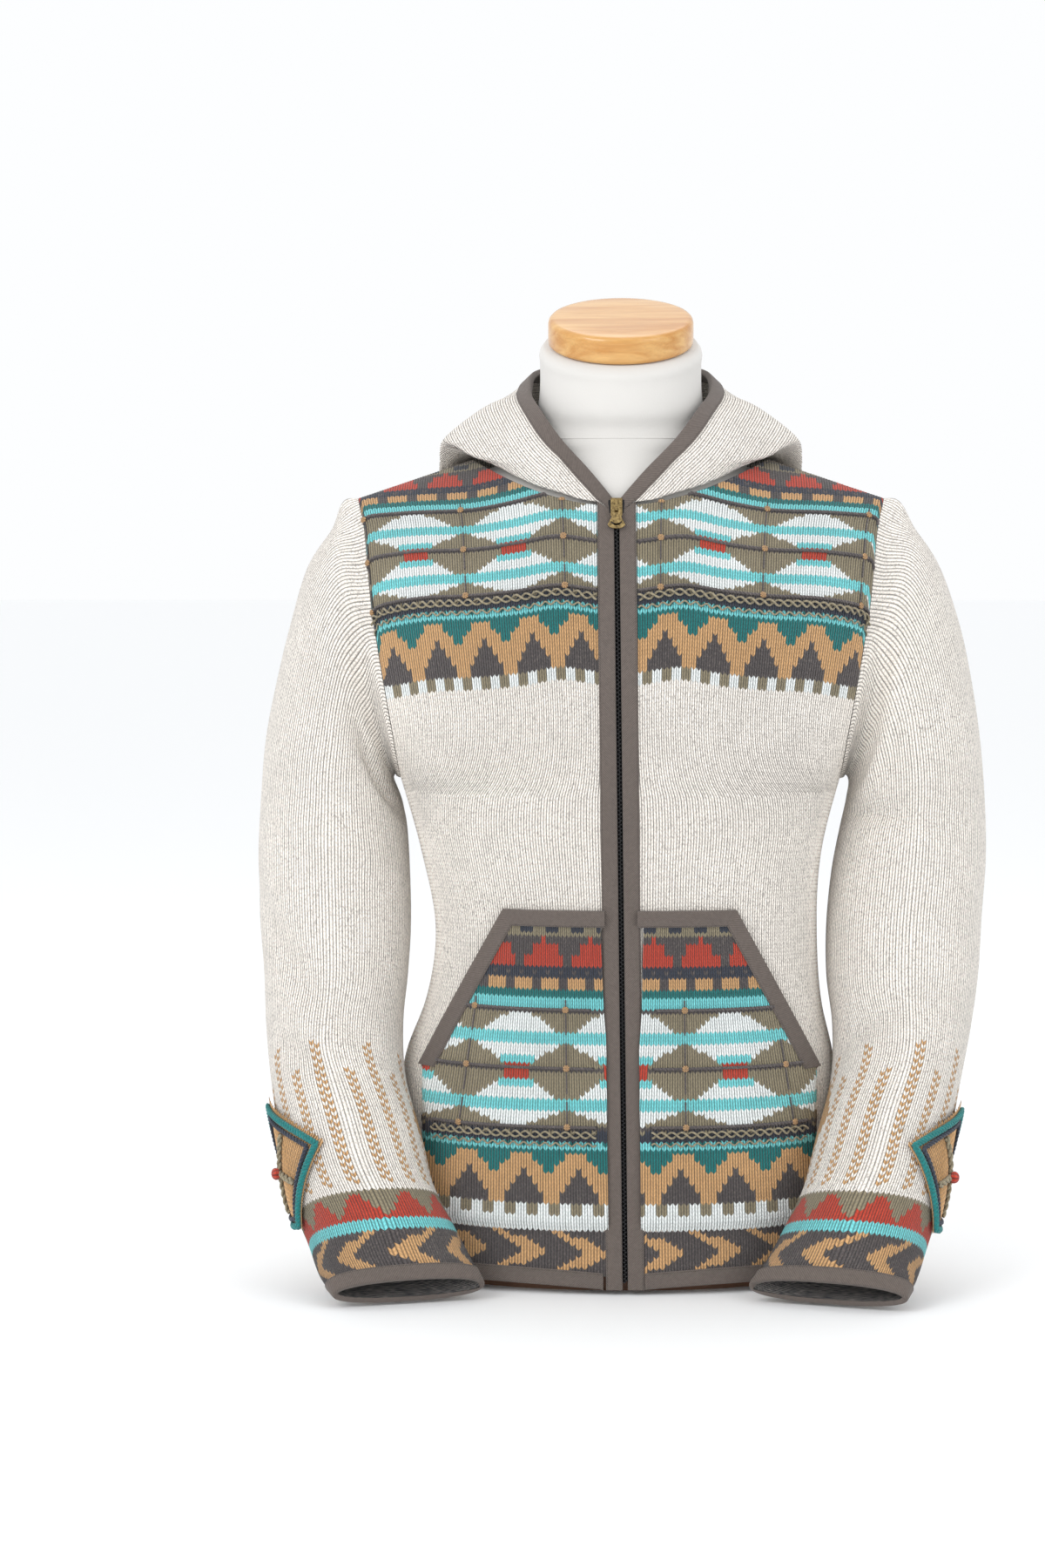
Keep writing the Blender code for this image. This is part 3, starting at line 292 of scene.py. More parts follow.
def sewn_side(points, share):
    """The last columns of a front and of the back meet where the side seam is sewn."""
    below = np.clip((UNDERARM - points[..., 2]) / 8, 0, 1)
    points[..., 1] *= 1 - (share > LAST_SHARE) * below
    return points


# Dress form: an off-white jersey cover on a padded torso, a turned and varnished neck
# cap, and a brown board under the hem. The torso and cap are finer turns of the
# solids; the board keeps its solid.
FORM_EASE = 5.5
NECK_WIDE, NECK_DEEP, NECK_SET, NECK_TOP = 61, 58, -8, 706
CAP_TILT, BOARD_THICK = 20.5, 12


def piece(name, points, faces, finish, body=BODY_NAME, uv=None, pick=None, smooth=True):
    """A mesh in millimetres as a piece of the scene that rides on a body."""
    mesh = bpy.data.meshes.new(name)
    mesh.from_pydata((np.asarray(points) * MM).tolist(), [], faces)
    for one in finish if isinstance(finish, (list, tuple)) else [finish]:
        mesh.materials.append(one)
    if pick is not None:
        mesh.polygons.foreach_set("material_index", np.asarray(pick, np.int32))
    if uv is not None:
        layer = mesh.uv_layers.new(name="thread")
        layer.data.foreach_set("uv", np.asarray(uv, np.float32).ravel())
    if smooth:
        mesh.shade_smooth()
    made = bpy.data.objects.new(name, mesh)
    bpy.context.scene.collection.objects.link(made)
    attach(made, body)
    return made


def ring_faces(rows, columns, closed=True, ends=False):
    """Quads of rows of points; closed says that each row is a ring."""
    r, c = np.meshgrid(np.arange(rows - 1), np.arange(columns if closed else columns - 1), indexing="ij")
    d = (c + 1) % columns
    quads = np.stack([r * columns + c, r * columns + d, (r + 1) * columns + d, (r + 1) * columns + c], -1)
    faces = quads.reshape(-1, 4).tolist()
    if ends:
        faces.append(list(range(columns))[::-1])
        faces.append([(rows - 1) * columns + k for k in range(columns)])
    return faces


def unrolled(column, count):
    """Columns of a ring's faces, whose last face ends at count and not at 0 again."""
    return np.where((column == 0) & (column.max(1, keepdims=True) == count - 1), count, column)


FORM_TURNS = 96
around = np.linspace(0, 2 * math.pi, FORM_TURNS + 1)[:-1]
levels = [[BOARD_THICK + 0.3, 20, 40], np.linspace(60, 576, 44), [584, 590, 596, 601, 606, 610, 614, 617]]
levels = np.concatenate(levels)
rings = []
for z in levels:
    ease = FORM_EASE + 4 * np.clip((520 - z) / 300, 0, 1) + 0.4 * max(z - 598, 0) + 0.3
    half = float(ring_sizes(z)[0]) - ease
    if z > UNDERARM - 30:
        half = min(half, float(armhole_out(max(z, UNDERARM))) - 9)
    top_out = NECK_OUT + (NECK_HEIGHT - ease - z) * (TIP_OUT - NECK_OUT) / (NECK_HEIGHT - TIP_HEIGHT)
    half = min(half, max(top_out, 96), TIP_OUT - 9)
    shift = float(ring_sizes(z)[3])
    x = half * np.sign(np.sin(around)) * np.abs(np.sin(around)) ** (2 / ROUND)
    front = depth(x * 0.985 + shift, z + 0 * x, ease=ease)
    behind = depth(x * 0.985 + shift, z + 0 * x, behind=True, ease=ease)
    round_off = np.sqrt(np.clip(1 - (np.abs(x) / (half + 0.01)) ** 6, 0, 1))
    face = np.where(np.cos(around) > 0, -front, behind) * round_off
    rings.append(np.stack([x + shift, face, z + 0 * x], -1))
slant = math.tan(math.radians(CAP_TILT))
neck = []
for z, wide, deep, tip in (
    (630, 78, 56, 0.03),
    (645, 66, 54, 0.1),
    (664, 62, 59, 0.22),
    (NECK_TOP - 14, NECK_WIDE, NECK_DEEP, 0.33),
    (NECK_TOP - 4, NECK_WIDE, NECK_DEEP, slant),
    (NECK_TOP, NECK_WIDE - 3, NECK_DEEP - 3, slant),
):
    x = wide * np.sin(around)
    y = NECK_SET - deep * np.cos(around)
    neck.append(np.stack([x, y, z + (y - NECK_SET) * tip], -1))
keys = np.array([rings[-3], rings[-1]] + neck)
stops = distance_along(keys.mean(1))
fine = through(stops, keys, np.linspace(stops[1], stops[-2], 26)[1:])
rings = rings + list(fine) + [neck[-1]]
points = np.concatenate(rings)

jersey, tree, shader = blank("stretched_cotton_jersey")
coords = add(tree, "TexCoord").outputs["Object"]
spread = add(tree, "Mapping", Vector=coords, Scale=(1500, 1500, 700))
rib = add(tree, "TexNoise", Vector=spread, Scale=1.0, Detail=2.0)
soft = add(tree, "TexNoise", Vector=coords, Scale=14.0, Detail=3.0)
tone = add(tree, "Mix", {"data_type": "RGBA"}, Factor=soft, _6=linear("CFCDC9"), _7=linear("DDDAD6"))
bump = add(tree, "Bump", Height=rib, Distance=0.0003, Strength=0.35)
feed(shader, Base_Color=tone.outputs[2], Roughness=0.9, Sheen_Weight=0.2, Normal=bump)
torso = piece("jersey_torso", points, ring_faces(len(rings), FORM_TURNS, ends=True), jersey)
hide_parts("form_torso")

# the jersey's seam where the neck meets the chest, a raised double thread
SEAM_HEIGHT = 634
stack = np.array(rings)
turns = np.arange(FORM_TURNS)
seam_rows = []
for out, up in ((0.0, -0.7), (0.55, -0.25), (0.55, 0.25), (0.0, 0.7)):
    row = np.array([np.interp(SEAM_HEIGHT + up, stack[:, k, 2], np.arange(len(rings))) for k in turns])
    low = np.floor(row).astype(int)
    share = (row - low)[:, None]
    spot = stack[low, turns] * (1 - share) + stack[low + 1, turns] * share
    away = unit(spot * np.array([1, 1, 0]) - np.array([0, NECK_SET, 0]))
    seam_rows.append(spot + away * out)
seam = piece("jersey_neck_seam", np.concatenate(seam_rows), ring_faces(4, FORM_TURNS), jersey)

# the cap: a turned disc with softened rims, tilted forward with the neck's cut
profile = [(0, 0), (30, 0), (51, 0), (53.4, 0.5), (54.6, 1.7), (55, 3.4), (55, 9), (54.9, 16.5), (54.3, 19)]
profile += [(52.7, 20.6), (50, 21), (30, 21.05), (0, 21.1)]
tilt = np.array(Matrix.Rotation(math.radians(CAP_TILT), 3, "X"))
cap_points = np.array([[r * math.sin(t), -r * math.cos(t), h + 0.4] for r, h in profile for t in around])
cap_points = cap_points @ tilt.T + np.array([0, NECK_SET, NECK_TOP])
wood, tree, shader = blank("varnished_beech")
coords = add(tree, "TexCoord").outputs["Object"]
stretch = add(tree, "Mapping", Vector=coords, Scale=(9, 60, 130))
grain = add(tree, "TexNoise", Vector=stretch, Scale=1.2, Detail=5.0, Distortion=0.6)
pores = add(tree, "Mapping", Vector=coords, Scale=(110, 900, 900))
pores = add(tree, "TexNoise", Vector=pores, Scale=1.0, Detail=2.0)
tan = add(tree, "ValToRGB", {"stops": ((0.32, "CC8B38"), (0.68, "E7B56C"))}, grain)
dark = add(tree, "Mix", {"data_type": "RGBA", "blend_type": "MULTIPLY"}, Factor=0.25, _6=tan, _7=pores)
bump = add(tree, "Bump", Height=pores, Distance=0.0002, Strength=0.15)
feed(shader, Base_Color=dark.outputs[2], Roughness=0.33, Coat_Weight=0.6, Coat_Roughness=0.12, Normal=bump)
cap = piece("turned_neck_cap", cap_points, ring_faces(len(profile), FORM_TURNS), wood)
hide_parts("form_neck_cap")

board, tree, shader = blank("brown_stained_board")
coords = add(tree, "TexCoord").outputs["Object"]
stretch = add(tree, "Mapping", Vector=coords, Scale=(8, 60, 200))
grain = add(tree, "TexNoise", Vector=stretch, Scale=1.0, Detail=4.0)
stain = add(tree, "ValToRGB", {"stops": ((0, "54382A"), (1, "8A6144"))}, grain)
feed(shader, Base_Color=stain, Roughness=0.55)


def finish_solid(name, finish):
    """Gives a finish to a solid that the scene keeps."""
    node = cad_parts[name]
    node.data.materials.clear()
    node.data.materials.append(finish)


finish_solid("form_base", board)

# Wool yarns. Each colour is one material: heathered wool whose stitch legs are
# rounded and twisted, with painted shade between the stitches, and whose nap is a fine fuzz.
YARNS = {
    "K": ("wool_yarn_cream_heather", "F6EFE6", "7B7674", 0.5),
    "W": ("wool_yarn_white", "E8EDEC", "B9C6C8", 0.06),
    "A": ("wool_yarn_aqua", "74CDD0", "3B9AA0", 0.1),
    "D": ("wool_yarn_dark_teal", "146D6C", "0A4244", 0.16),
    "T": ("wool_yarn_tan", "C69B6B", "946A3F", 0.14),
    "C": ("wool_yarn_charcoal_heather", "4C4646", "8A8078", 0.3),
    "S": ("wool_yarn_sage_heather", "8A8069", "5A5242", 0.25),
    "R": ("wool_yarn_rust", "B63E2B", "7A2418", 0.14),
    "N": ("wool_yarn_navy_heather", "2F3440", "555A66", 0.22),
    "B": ("wool_yarn_brown", "8C6540", "5E4027", 0.15),
}
SLOTS = "KWADTCSRNB"


def yarn(name, colour, fleck, amount):
    """A knitted yarn. Its UV counts stitches across and rows up, so that half a unit
    across is one leg of a stitch."""
    made, tree, shader = blank(name)
    uv = add(tree, "UVMap", {"uv_map": "thread"})
    parts = add(tree, "SeparateXYZ", Vector=uv)
    across, up = parts.outputs[0], parts.outputs[1]
    legs = add(tree, "Math", "MULTIPLY", across, 2.0)
    leg = add(tree, "Math", "FRACT", legs)
    row = add(tree, "Math", "FRACT", up)
    arch = add(tree, "Math", "SINE", add(tree, "Math", "MULTIPLY", leg, math.pi))
    arch = add(tree, "Math", "POWER", arch, 0.75)
    ends = add(tree, "Math", "SINE", add(tree, "Math", "MULTIPLY", row, math.pi))
    ends = add(tree, "Math", "POWER", ends, 0.5)
    round_leg = add(tree, "Math", "MULTIPLY", arch, add(tree, "Math", "MULTIPLY_ADD", ends, 0.4, 0.6))
    twist = add(tree, "Math", "MULTIPLY_ADD", leg, 1.3, add(tree, "Math", "MULTIPLY", row, 2.0))
    ply = add(tree, "Math", "SINE", add(tree, "Math", "MULTIPLY", twist, 2 * math.pi))
    coords = add(tree, "TexCoord").outputs["Object"]
    fuzz = add(tree, "TexNoise", Vector=coords, Scale=1700.0, Detail=3.0)
    height = add(tree, "Math", "MULTIPLY_ADD", ply, 0.07, round_leg)
    height = add(tree, "Math", "MULTIPLY_ADD", fuzz, 0.28, height)
    stretch = add(tree, "Mapping", Vector=coords, Scale=(800, 800, 480))
    wool = add(tree, "TexNoise", Vector=stretch, Scale=1.0, Detail=3.0)
    fibre = add(tree, "Math", "MULTIPLY", add(tree, "Math", "SUBTRACT", wool, 0.5), 5.0)
    fibre = add(tree, "Clamp", Value=fibre)
    cloud = add(tree, "TexNoise", Vector=coords, Scale=26.0, Detail=4.0)
    heather = add(tree, "Math", "MULTIPLY", fibre, add(tree, "Math", "MULTIPLY", cloud, 2.0 * amount))
    base = add(tree, "Mix", {"data_type": "RGBA"}, Factor=heather, _6=linear(colour), _7=linear(fleck))
    # painted shade: the colour darkens towards each leg's edges and each row's ends, standing in for shade
    # between the stitches; the cloud adds random tone
    shade = add(tree, "Math", "MULTIPLY_ADD", round_leg, 0.9, 0.46)
    shade = add(tree, "Math", "MULTIPLY_ADD", add(tree, "Math", "SUBTRACT", cloud, 0.5), 0.3, shade)
    # every leg's yarn is a little lighter or darker, and painted shade darkens the gap beside each column
    cell = add(tree, "CombineXYZ", X=add(tree, "Math", "FLOOR", legs), Y=add(tree, "Math", "FLOOR", up))
    spun = add(tree, "TexWhiteNoise", {"noise_dimensions": "2D"}, Vector=cell)
    shade = add(tree, "Math", "MULTIPLY_ADD", add(tree, "Math", "SUBTRACT", spun, 0.5), 0.16, shade)
    beside = add(tree, "Math", "FRACT", across)
    beside = add(tree, "Math", "ABSOLUTE", add(tree, "Math", "MULTIPLY_ADD", beside, 2.0, -1.0))
    shade = add(tree, "Math", "MULTIPLY_ADD", add(tree, "Math", "POWER", beside, 7.0), -0.3, shade)
    tone = add(tree, "VectorMath", "SCALE", base.outputs[2], Scale=shade)
    bump = add(tree, "Bump", Height=height, Distance=0.0012, Strength=1.0)
    feed(shader, Base_Color=tone, Roughness=0.95, Specular_IOR_Level=0.2, Normal=bump)
    feed(shader, Sheen_Weight=0.22, Sheen_Roughness=0.6)
    return made


yarns = [yarn(*YARNS[letter]) for letter in SLOTS]


V_DEEP = 0.8  # rows
LEAST_FACE, LEAST_INSIDE = 0.12, 0.3  # mm2 of a face's crossed diagonals


def sheet_piece(name, grid, quads, across, up, least, finish, pick=None):
    """A sheet's faces larger than the least size, as a piece whose UV counts stitches."""
    flat = grid.reshape(-1, 3)
    corner = flat[quads]
    one, other = corner[:, 2] - corner[:, 0], corner[:, 3] - corner[:, 1]
    kept = np.linalg.norm(np.cross(one, other), axis=-1) > least
    quads = quads[kept]
    thread = np.stack([across.ravel(), up.ravel()], -1)[quads.reshape(-1)]
    used, new = np.unique(quads, return_inverse=True)
    pick = None if pick is None else pick[kept]
    return piece(name, flat[used], new.reshape(-1, 4).tolist(), finish, uv=thread, pick=pick)


def knit(name, place, columns, rows, letter, legs=4, lift=None, flip=False, relief=0.32):
    """A knitted sheet. place(c, r) gives points in mm for stitch columns and rows, and
    letter(c, r) the yarn of whole stitches. Rows sink by most of a row at each stitch's
    middle, which makes the V of plain knitting, and the legs stand proud of their edges."""
    c = np.arange(columns * legs + 1) / legs
    r = np.arange(rows + 1, dtype=float)
    cc, rr = np.meshgrid(c, r)
    sunk = rr - V_DEEP * (1 - np.abs(2 * (cc % 1) - 1))
    grid = place(cc, sunk)
    along = np.gradient(grid, axis=1)
    up = np.gradient(grid, axis=0)
    if legs > 1:
        along = np.gradient(place(cc, rr), axis=1)
    normal = unit(np.cross(along, up)) * (-1 if flip else 1)
    proud = relief * np.where(np.abs((cc * 2) % 1 - 0.5) < 0.01, 1.0, -0.6) if legs == 4 else 0 * cc
    if lift is not None:
        proud = proud + lift(cc, rr)
    grid = grid + normal * proud[..., None]
    quads = np.array(ring_faces(rows + 1, len(c), closed=False))
    if flip:
        quads = quads[:, ::-1]
    q, p = np.meshgrid(np.arange(rows), np.arange(columns * legs), indexing="ij")
    pick = letter(p // legs, q).ravel()
    return sheet_piece(name, grid, quads, cc, rr, LEAST_FACE, yarns, pick)


def slots(pattern):
    """A chart row's letters as material slots."""
    return np.array([SLOTS.index(one) for one in pattern])


# Colourwork of the yoke and the pockets, charted as rows of common repeats,
# from the top down: checks, stepped triangles, dashes, stripes, a field of lenses and
# diamonds between raised ridges, a twisted band, points, zigzag and teeth.
def lens_row(sage, rust=0, aqua=0, stripe=False, ridge=False):
    """Twenty stitches with the diamond's middle at stitch 10."""
    row = []
    for k in range(20):
        off = abs(k - 10)
        if ridge:
            row.append("R" if 10 - off < rust else "C")
        elif stripe:
            row.append("A")
        elif off <= sage:
            row.append("S")
        elif 10 - off < rust:
            row.append("R")
        elif 10 - off < aqua:
            row.append("A")
        else:
            row.append("W")
    return "".join(row)


CHART = ["NNNSSS"] * 3 + ["S"]
CHART += ["CCCCRCCCC"] * 2 + ["CCRRRRRCC"] * 3 + ["CRRRRRRRC"] * 3
CHART += ["N", "NNC", "N"]
CHART += ["TTTTCC"] * 3
CHART += ["D"] * 2 + ["A"] * 3
CHART += [lens_row(0, ridge=True)]
CHART += [lens_row(w) for w in (7, 5, 4, 3, 2)]
CHART += [lens_row(0, stripe=True)] * 3
CHART += [lens_row(w) for w in (1, 2, 4)] + [lens_row(w, aqua=4) for w in (5, 6)]
CHART += [lens_row(7, rust=3), lens_row(0, ridge=True, rust=3), lens_row(7, rust=3), lens_row(7, rust=3)]
CHART += [lens_row(w, aqua=4) for w in (6, 5)] + [lens_row(w) for w in (4, 3, 2)]
CHART += [lens_row(0, stripe=True)] * 3
CHART += [lens_row(w) for w in (1, 3, 5, 7)] + [lens_row(0, ridge=True)]
CHART += ["NNNS", "N", "N"]
CHART += ["DAA", "A", "D"]
CHART += ["DDDTTTTDDD", "DDDTTTTDDD", "DDTTTTTTDD"]
CHART += ["DTTTTTTTTD", "DTTTCTTTTD"]
CHART += ["TTTTCTTTTT", "TTTCCCTTTT", "TTTCCCTTTT", "TTCCCCCTTT", "TTCCCCCTTT", "TCCCCCCCTT"]
CHART += ["TCCCCCCCTT", "TCCCCCCCTT"]
CHART += ["WWSS"] * 3
RIDGES = [i for i, row in enumerate(CHART) if row[4:8] == "CCCC" and len(row) == 20]
LENS_ROWS = range(RIDGES[0], RIDGES[2] + 1)


def chart_pick(c, down, lens_shift, point_shift):
    """Yarn of each stitch for chart rows counted from the top."""
    made = np.zeros(np.shape(c), int)
    for i, row in enumerate(CHART):
        here = down == i
        if not here.any():
            continue
        repeat = slots(row)
        shift = lens_shift if i in LENS_ROWS else point_shift
        made[here] = repeat[(c[here] + shift) % len(repeat)]
    return made


# Band of arrows round the hem: three-stitch tan arrows that point to the wearer's
# left, on charcoal.
ARROWS = [0, 1, 2, 3, 4, 5, 5, 4, 3, 2, 1, 0]


def arrow_pick(c, row):
    shift = np.array(ARROWS)[np.clip(row, 0, len(ARROWS) - 1)]
    tan = (c - shift) % 10 < np.where((row > 1) & (row < 10), 4, 2)
    return np.where(tan, SLOTS.index("T"), SLOTS.index("C"))


# The two fronts: knitted from the hem up in 50 columns, with the hem band, plain
# cream stockinette, and the patterned yoke, whose rows rise towards the neck.
FRONT_COLUMNS = 50
BAND_ROWS, PLAIN_ROWS, YOKE_ROWS = 12, 138, len(CHART) + 20
BAND_TOP = 49
YOKE_FOOT = 450
ROW_RUN = ((0, 21, 36, 51, 100), (0, 64.5, 102, 137, 252))  # yoke rows against mm of cloth
BOBBLE_COLUMN = {1: 7, -1: 9}
ZIGZAG_SHIFT = {1: 6, -1: 8}


def yoke_rise(out):
    """How far the yoke's rows rise or fall, by distance out from the zip."""
    return through((0, 20, 45, 75, 111, 145, 190), (2, 5, 8, 3.5, 0, -2, -10), out)


def front_place(side):
    shares = np.linspace(0, 1, 101)
    columns = []
    for share in shares:
        at = np.array([520.0])
        x = side * float(out_across(np.array([share]), at, side)[0]) + float(ring_sizes(520.0)[3])
        z = np.linspace(YOKE_FOOT - 30, float(front_top(np.array(x))), 240)
        y = depth(x + 0 * z, z)
        run = np.concatenate([[0], np.cumsum(np.hypot(np.diff(z), np.diff(y)))])
        run = run - np.interp(YOKE_FOOT, z, run)
        columns.append((z, run, abs(x)))

    def place(c, r):
        share = c / FRONT_COLUMNS
        rows = r - BAND_ROWS - PLAIN_ROWS
        z = np.zeros_like(share)
        for k in range(share.shape[1]):
            u = share[0, k] * 100
            low = min(int(u), 99)
            mix = u - low
            near, far = columns[low], columns[low + 1]
            out = near[2] * (1 - mix) + far[2] * mix
            rise = float(yoke_rise(out))
            want = np.interp(rows[:, k], *ROW_RUN) + rise
            yoke = np.interp(want, near[1], near[0]) * (1 - mix) + np.interp(want, far[1], far[0]) * mix
            foot = BAND_TOP + (YOKE_FOOT + rise - BAND_TOP) * (rows[:, k] / PLAIN_ROWS + 1)
            hem = float(hem_height(share[0, k])) + TAPE_WIDE - 2
            band = hem + (BAND_TOP - hem) * np.clip(r[:, k], 0, BAND_ROWS) / BAND_ROWS
            z[:, k] = np.where(rows[:, k] > 0, yoke, np.where(rows[:, k] > -PLAIN_ROWS, foot, band))
        x = side * out_across(share, z, side) + ring_sizes(z)[3]
        z = np.minimum(z, front_top(x))
        return sewn_side(front_point(x, z), share)

    return place


def front_letter(side):
    def letter(c, r):
        down = BAND_ROWS + PLAIN_ROWS + len(CHART) - 1 - r
        made = chart_pick(c, down, 10 - BOBBLE_COLUMN[side], ZIGZAG_SHIFT[side])
        over = r >= BAND_ROWS + PLAIN_ROWS + len(CHART)
        made = np.where(over, np.where((c // 2 + r) % 2 == 0, SLOTS.index("S"), SLOTS.index("C")), made)
        made = np.where(r < BAND_ROWS, arrow_pick(c * side, r), made)
        return made

    return letter


def ridge_lift(foot, high):
    """Ridge rows of a chart stand this high out of the cloth."""

    def lift(c, r):
        made = np.zeros_like(c)
        for i in RIDGES:
            middle = foot + len(CHART) - 0.5 - i
            made += high * np.exp(-(((r - middle) / 0.7) ** 2))
        return made

    return lift


front_places, fronts_made = {}, {}
for side, word in SIDES:
    place = front_place(side)
    front_places[side] = place
    letter, lift = front_letter(side), ridge_lift(BAND_ROWS + PLAIN_ROWS, 0.9)
    rows = BAND_ROWS + PLAIN_ROWS + YOKE_ROWS
    made = knit("knit_front_" + word, place, FRONT_COLUMNS, rows, letter, lift=lift, flip=side < 0)
    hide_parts("front_" + word)
    fronts_made[side] = made

# The back: cream knitting from the hem band to the neckline and shoulder seams, one
# sheet of 104 columns. Only its band carries a pattern.
BACK_COLUMNS, BACK_ROWS, ROW_TALL = 104, 246, 2.87


def back_place(c, r):
    """Points of the back, its columns from the wearer's left to the right."""
    made = np.zeros((*c.shape, 3))
    for k in range(c.shape[1]):
        share = c[0, k] * 2 / BACK_COLUMNS - 1
        x_tip = float(out_across(np.array([abs(share)]), np.array([TIP_HEIGHT]), 0)[0])
        foot = float(hem_height(abs(share))) + TAPE_WIDE - 2
        top = float(back_top(np.array(x_tip)))
        z = foot + (top - foot) * np.sin(np.linspace(0, math.pi / 2, 300))
        x = -np.sign(share) * out_across(abs(share) + 0 * z, z, 0) + ring_sizes(z)[3]
        line = sewn_side(back_point(x, z), abs(share))
        run = distance_along(line[:, 1:])
        start = np.interp(BAND_TOP, z, run)
        rows = r[:, k]
        want = np.where(rows < BAND_ROWS, start * rows / BAND_ROWS, start + (rows - BAND_ROWS) * ROW_TALL)
        made[:, k] = at_distance(want, run, line)
    return made


def back_letter(c, r):
    return np.where(r < BAND_ROWS, arrow_pick(c, r), 0)


made = knit("knit_back", back_place, BACK_COLUMNS, BACK_ROWS, back_letter, legs=2)
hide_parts("back_panel")

# The sleeves: cream knitting over the folds of the solids, rows level from the cuff up
# and cut off at the armhole. Above the tape stand a zigzag, a stripe and triangles,
# then dashed columns. Near the body each has a flat tan diamond.
SLEEVE = (  # outer height, forward, out left, out right; inner ones; half depth, tip
    (566, 2, 225, 221, 379, 2, 173, 173, 49, 0),
    (538, 0, 243, 239, 377, 0, 175, 174, 54, 0),
    (495, -2, 258, 252, 372, -1, 175.5, 173, 57, 0),
    (454, -4, 267, 262, 365, -3, 174, 169.5, 58, 0),
    (408, -6, 274, 271, 355, -5, 172, 166, 59, 0),
    (360, -8, 278, 275, 338, -7, 168, 163, 59, 0),
    (318, -10, 279, 277, 306, -9, 162, 161, 59, 0),
    (275, -14, 276, 276, 265, -13, 158, 160, 58, 0),
    (230, -20, 273, 272, 227, -20, 158, 162, 57, 4),
    (188, -32, 266, 269, 192, -35, 162, 165, 55, 14),
    (147, -52, 256, 263, 156, -58, 160, 162, 50, 30),
    (105, -80, 246, 254, 114, -83, 147, 148, 44, 46),
    (70, -110, 237, 243, 76, -105, 136, 137, 36, 54),
    (45, -134, 226, 229, 49, -118, 122, 122, 27, 58),
    (24, -151, 217, 219, 28, -126, 109, 109, 17.5, 61),
    (12, -166, 208, 207, 13, -135, 97, 100, 10, 63),
)
SLEEVE_FOLDS = (  # side, ring and angle at both ends, half width, how far out
    (-1, 6.6, 20, 9.6, 120, 15, -4.0),
    (-1, 9.3, 40, 11.0, 120, 12, -3.5),
    (-1, 1.6, 120, 4.2, 165, 14, -5.0),
    (-1, 5.0, 60, 6.0, 140, 16, 2.5),
    (1, 5.2, 60, 4.2, 150, 14, -4.0),
    (1, 8.4, 70, 9.6, 160, 13, -3.5),
    (1, 0.8, 95, 3.4, 140, 14, 3.5),
    (1, 11.0, 20, 11.8, 110, 12, -2.5),
    (-1, 8.0, 220, 9.8, 320, 16, -3.5),
    (1, 7.2, 215, 9.0, 330, 16, -3.5),
)


def grid_normals(points):
    """Normals of a sheet, across the way that its columns and rows run."""
    return unit(np.cross(np.gradient(points, axis=1), np.gradient(points, axis=0)))


def ring_normals(points):
    """Normals of a sheet whose columns close on themselves."""
    wrapped = np.concatenate([points[:, -1:], points, points[:, :1]], 1)
    return grid_normals(wrapped)[:, 1:-1]


def sleeve_rings(side, around):
    """Key rings of a sleeve, each a loop that starts away from the body."""
    angle = np.radians(around)
    which = 2 if side > 0 else 3
    rings = []
    for row in SLEEVE:
        outer = np.array([side * row[which], row[1], row[0]], float)
        inner = np.array([side * row[which + 4], row[5], row[4]], float)
        half_depth, tip = row[8], math.radians(row[9])
        middle, reach = (outer + inner) / 2, (outer - inner) / 2
        front = np.array([0, -math.cos(tip), math.sin(tip)])
        along = unit(reach)
        front = unit(front - along * (front @ along)) * half_depth
        power = 0.94 - 0.1 * row[9] / 63
        c, s = (np.sign(v) * np.abs(v) ** power for v in (np.cos(angle), np.sin(angle)))
        rings.append(middle + c[:, None] * reach + s[:, None] * front)
    return np.array(rings)


def armhole_loop(side, around):
    """The armhole edge from the shoulder tip, down the front, and up the back."""
    fine = UNDERARM + (TIP_HEIGHT - UNDERARM) * (0.5 + 0.5 * np.cos(np.linspace(0, math.pi, 60)))
    out = side * edge_out(fine)
    down = front_point(out, fine)
    up = back_point(out, fine)[::-1]
    loop = np.concatenate([down, up[1:-1]])
    loop = np.concatenate([loop, loop[:1]])
    run = distance_along(loop)
    half = run[59]
    at = np.asarray(around) / 180
    want = np.where(at <= 1, at * half, half + (at - 1) * (run[-1] - half))
    spot = at_distance(want, run, loop)
    x, z = side * (np.abs(loop[:, 0]) - 6), loop[:, 2]
    inside = np.where(loop[:, 1:2] > 0, back_point(x, z), front_point(x, z))
    away = at_distance(want, run, loop - inside)
    along = unit(np.roll(spot, -1, 0) - np.roll(spot, 1, 0))
    away = unit(away - along * np.sum(away * along, -1, keepdims=True))
    low = np.clip((1 - np.cos(np.radians(around))) / 2, 0, 1)[:, None]
    mix = away * (1 - 0.55 * low**0.7) + np.array([side, 0, 0.35]) * 0.55 * low**0.7
    return spot, unit(mix)


FOLD_DEEPER = 1.5  # the scene's folds against the solids'
RING_APART = 40.0  # a step between rings counts as this many degrees round the sleeve
SLEEVE_PLACES = np.linspace(-1.25, 15, 261)


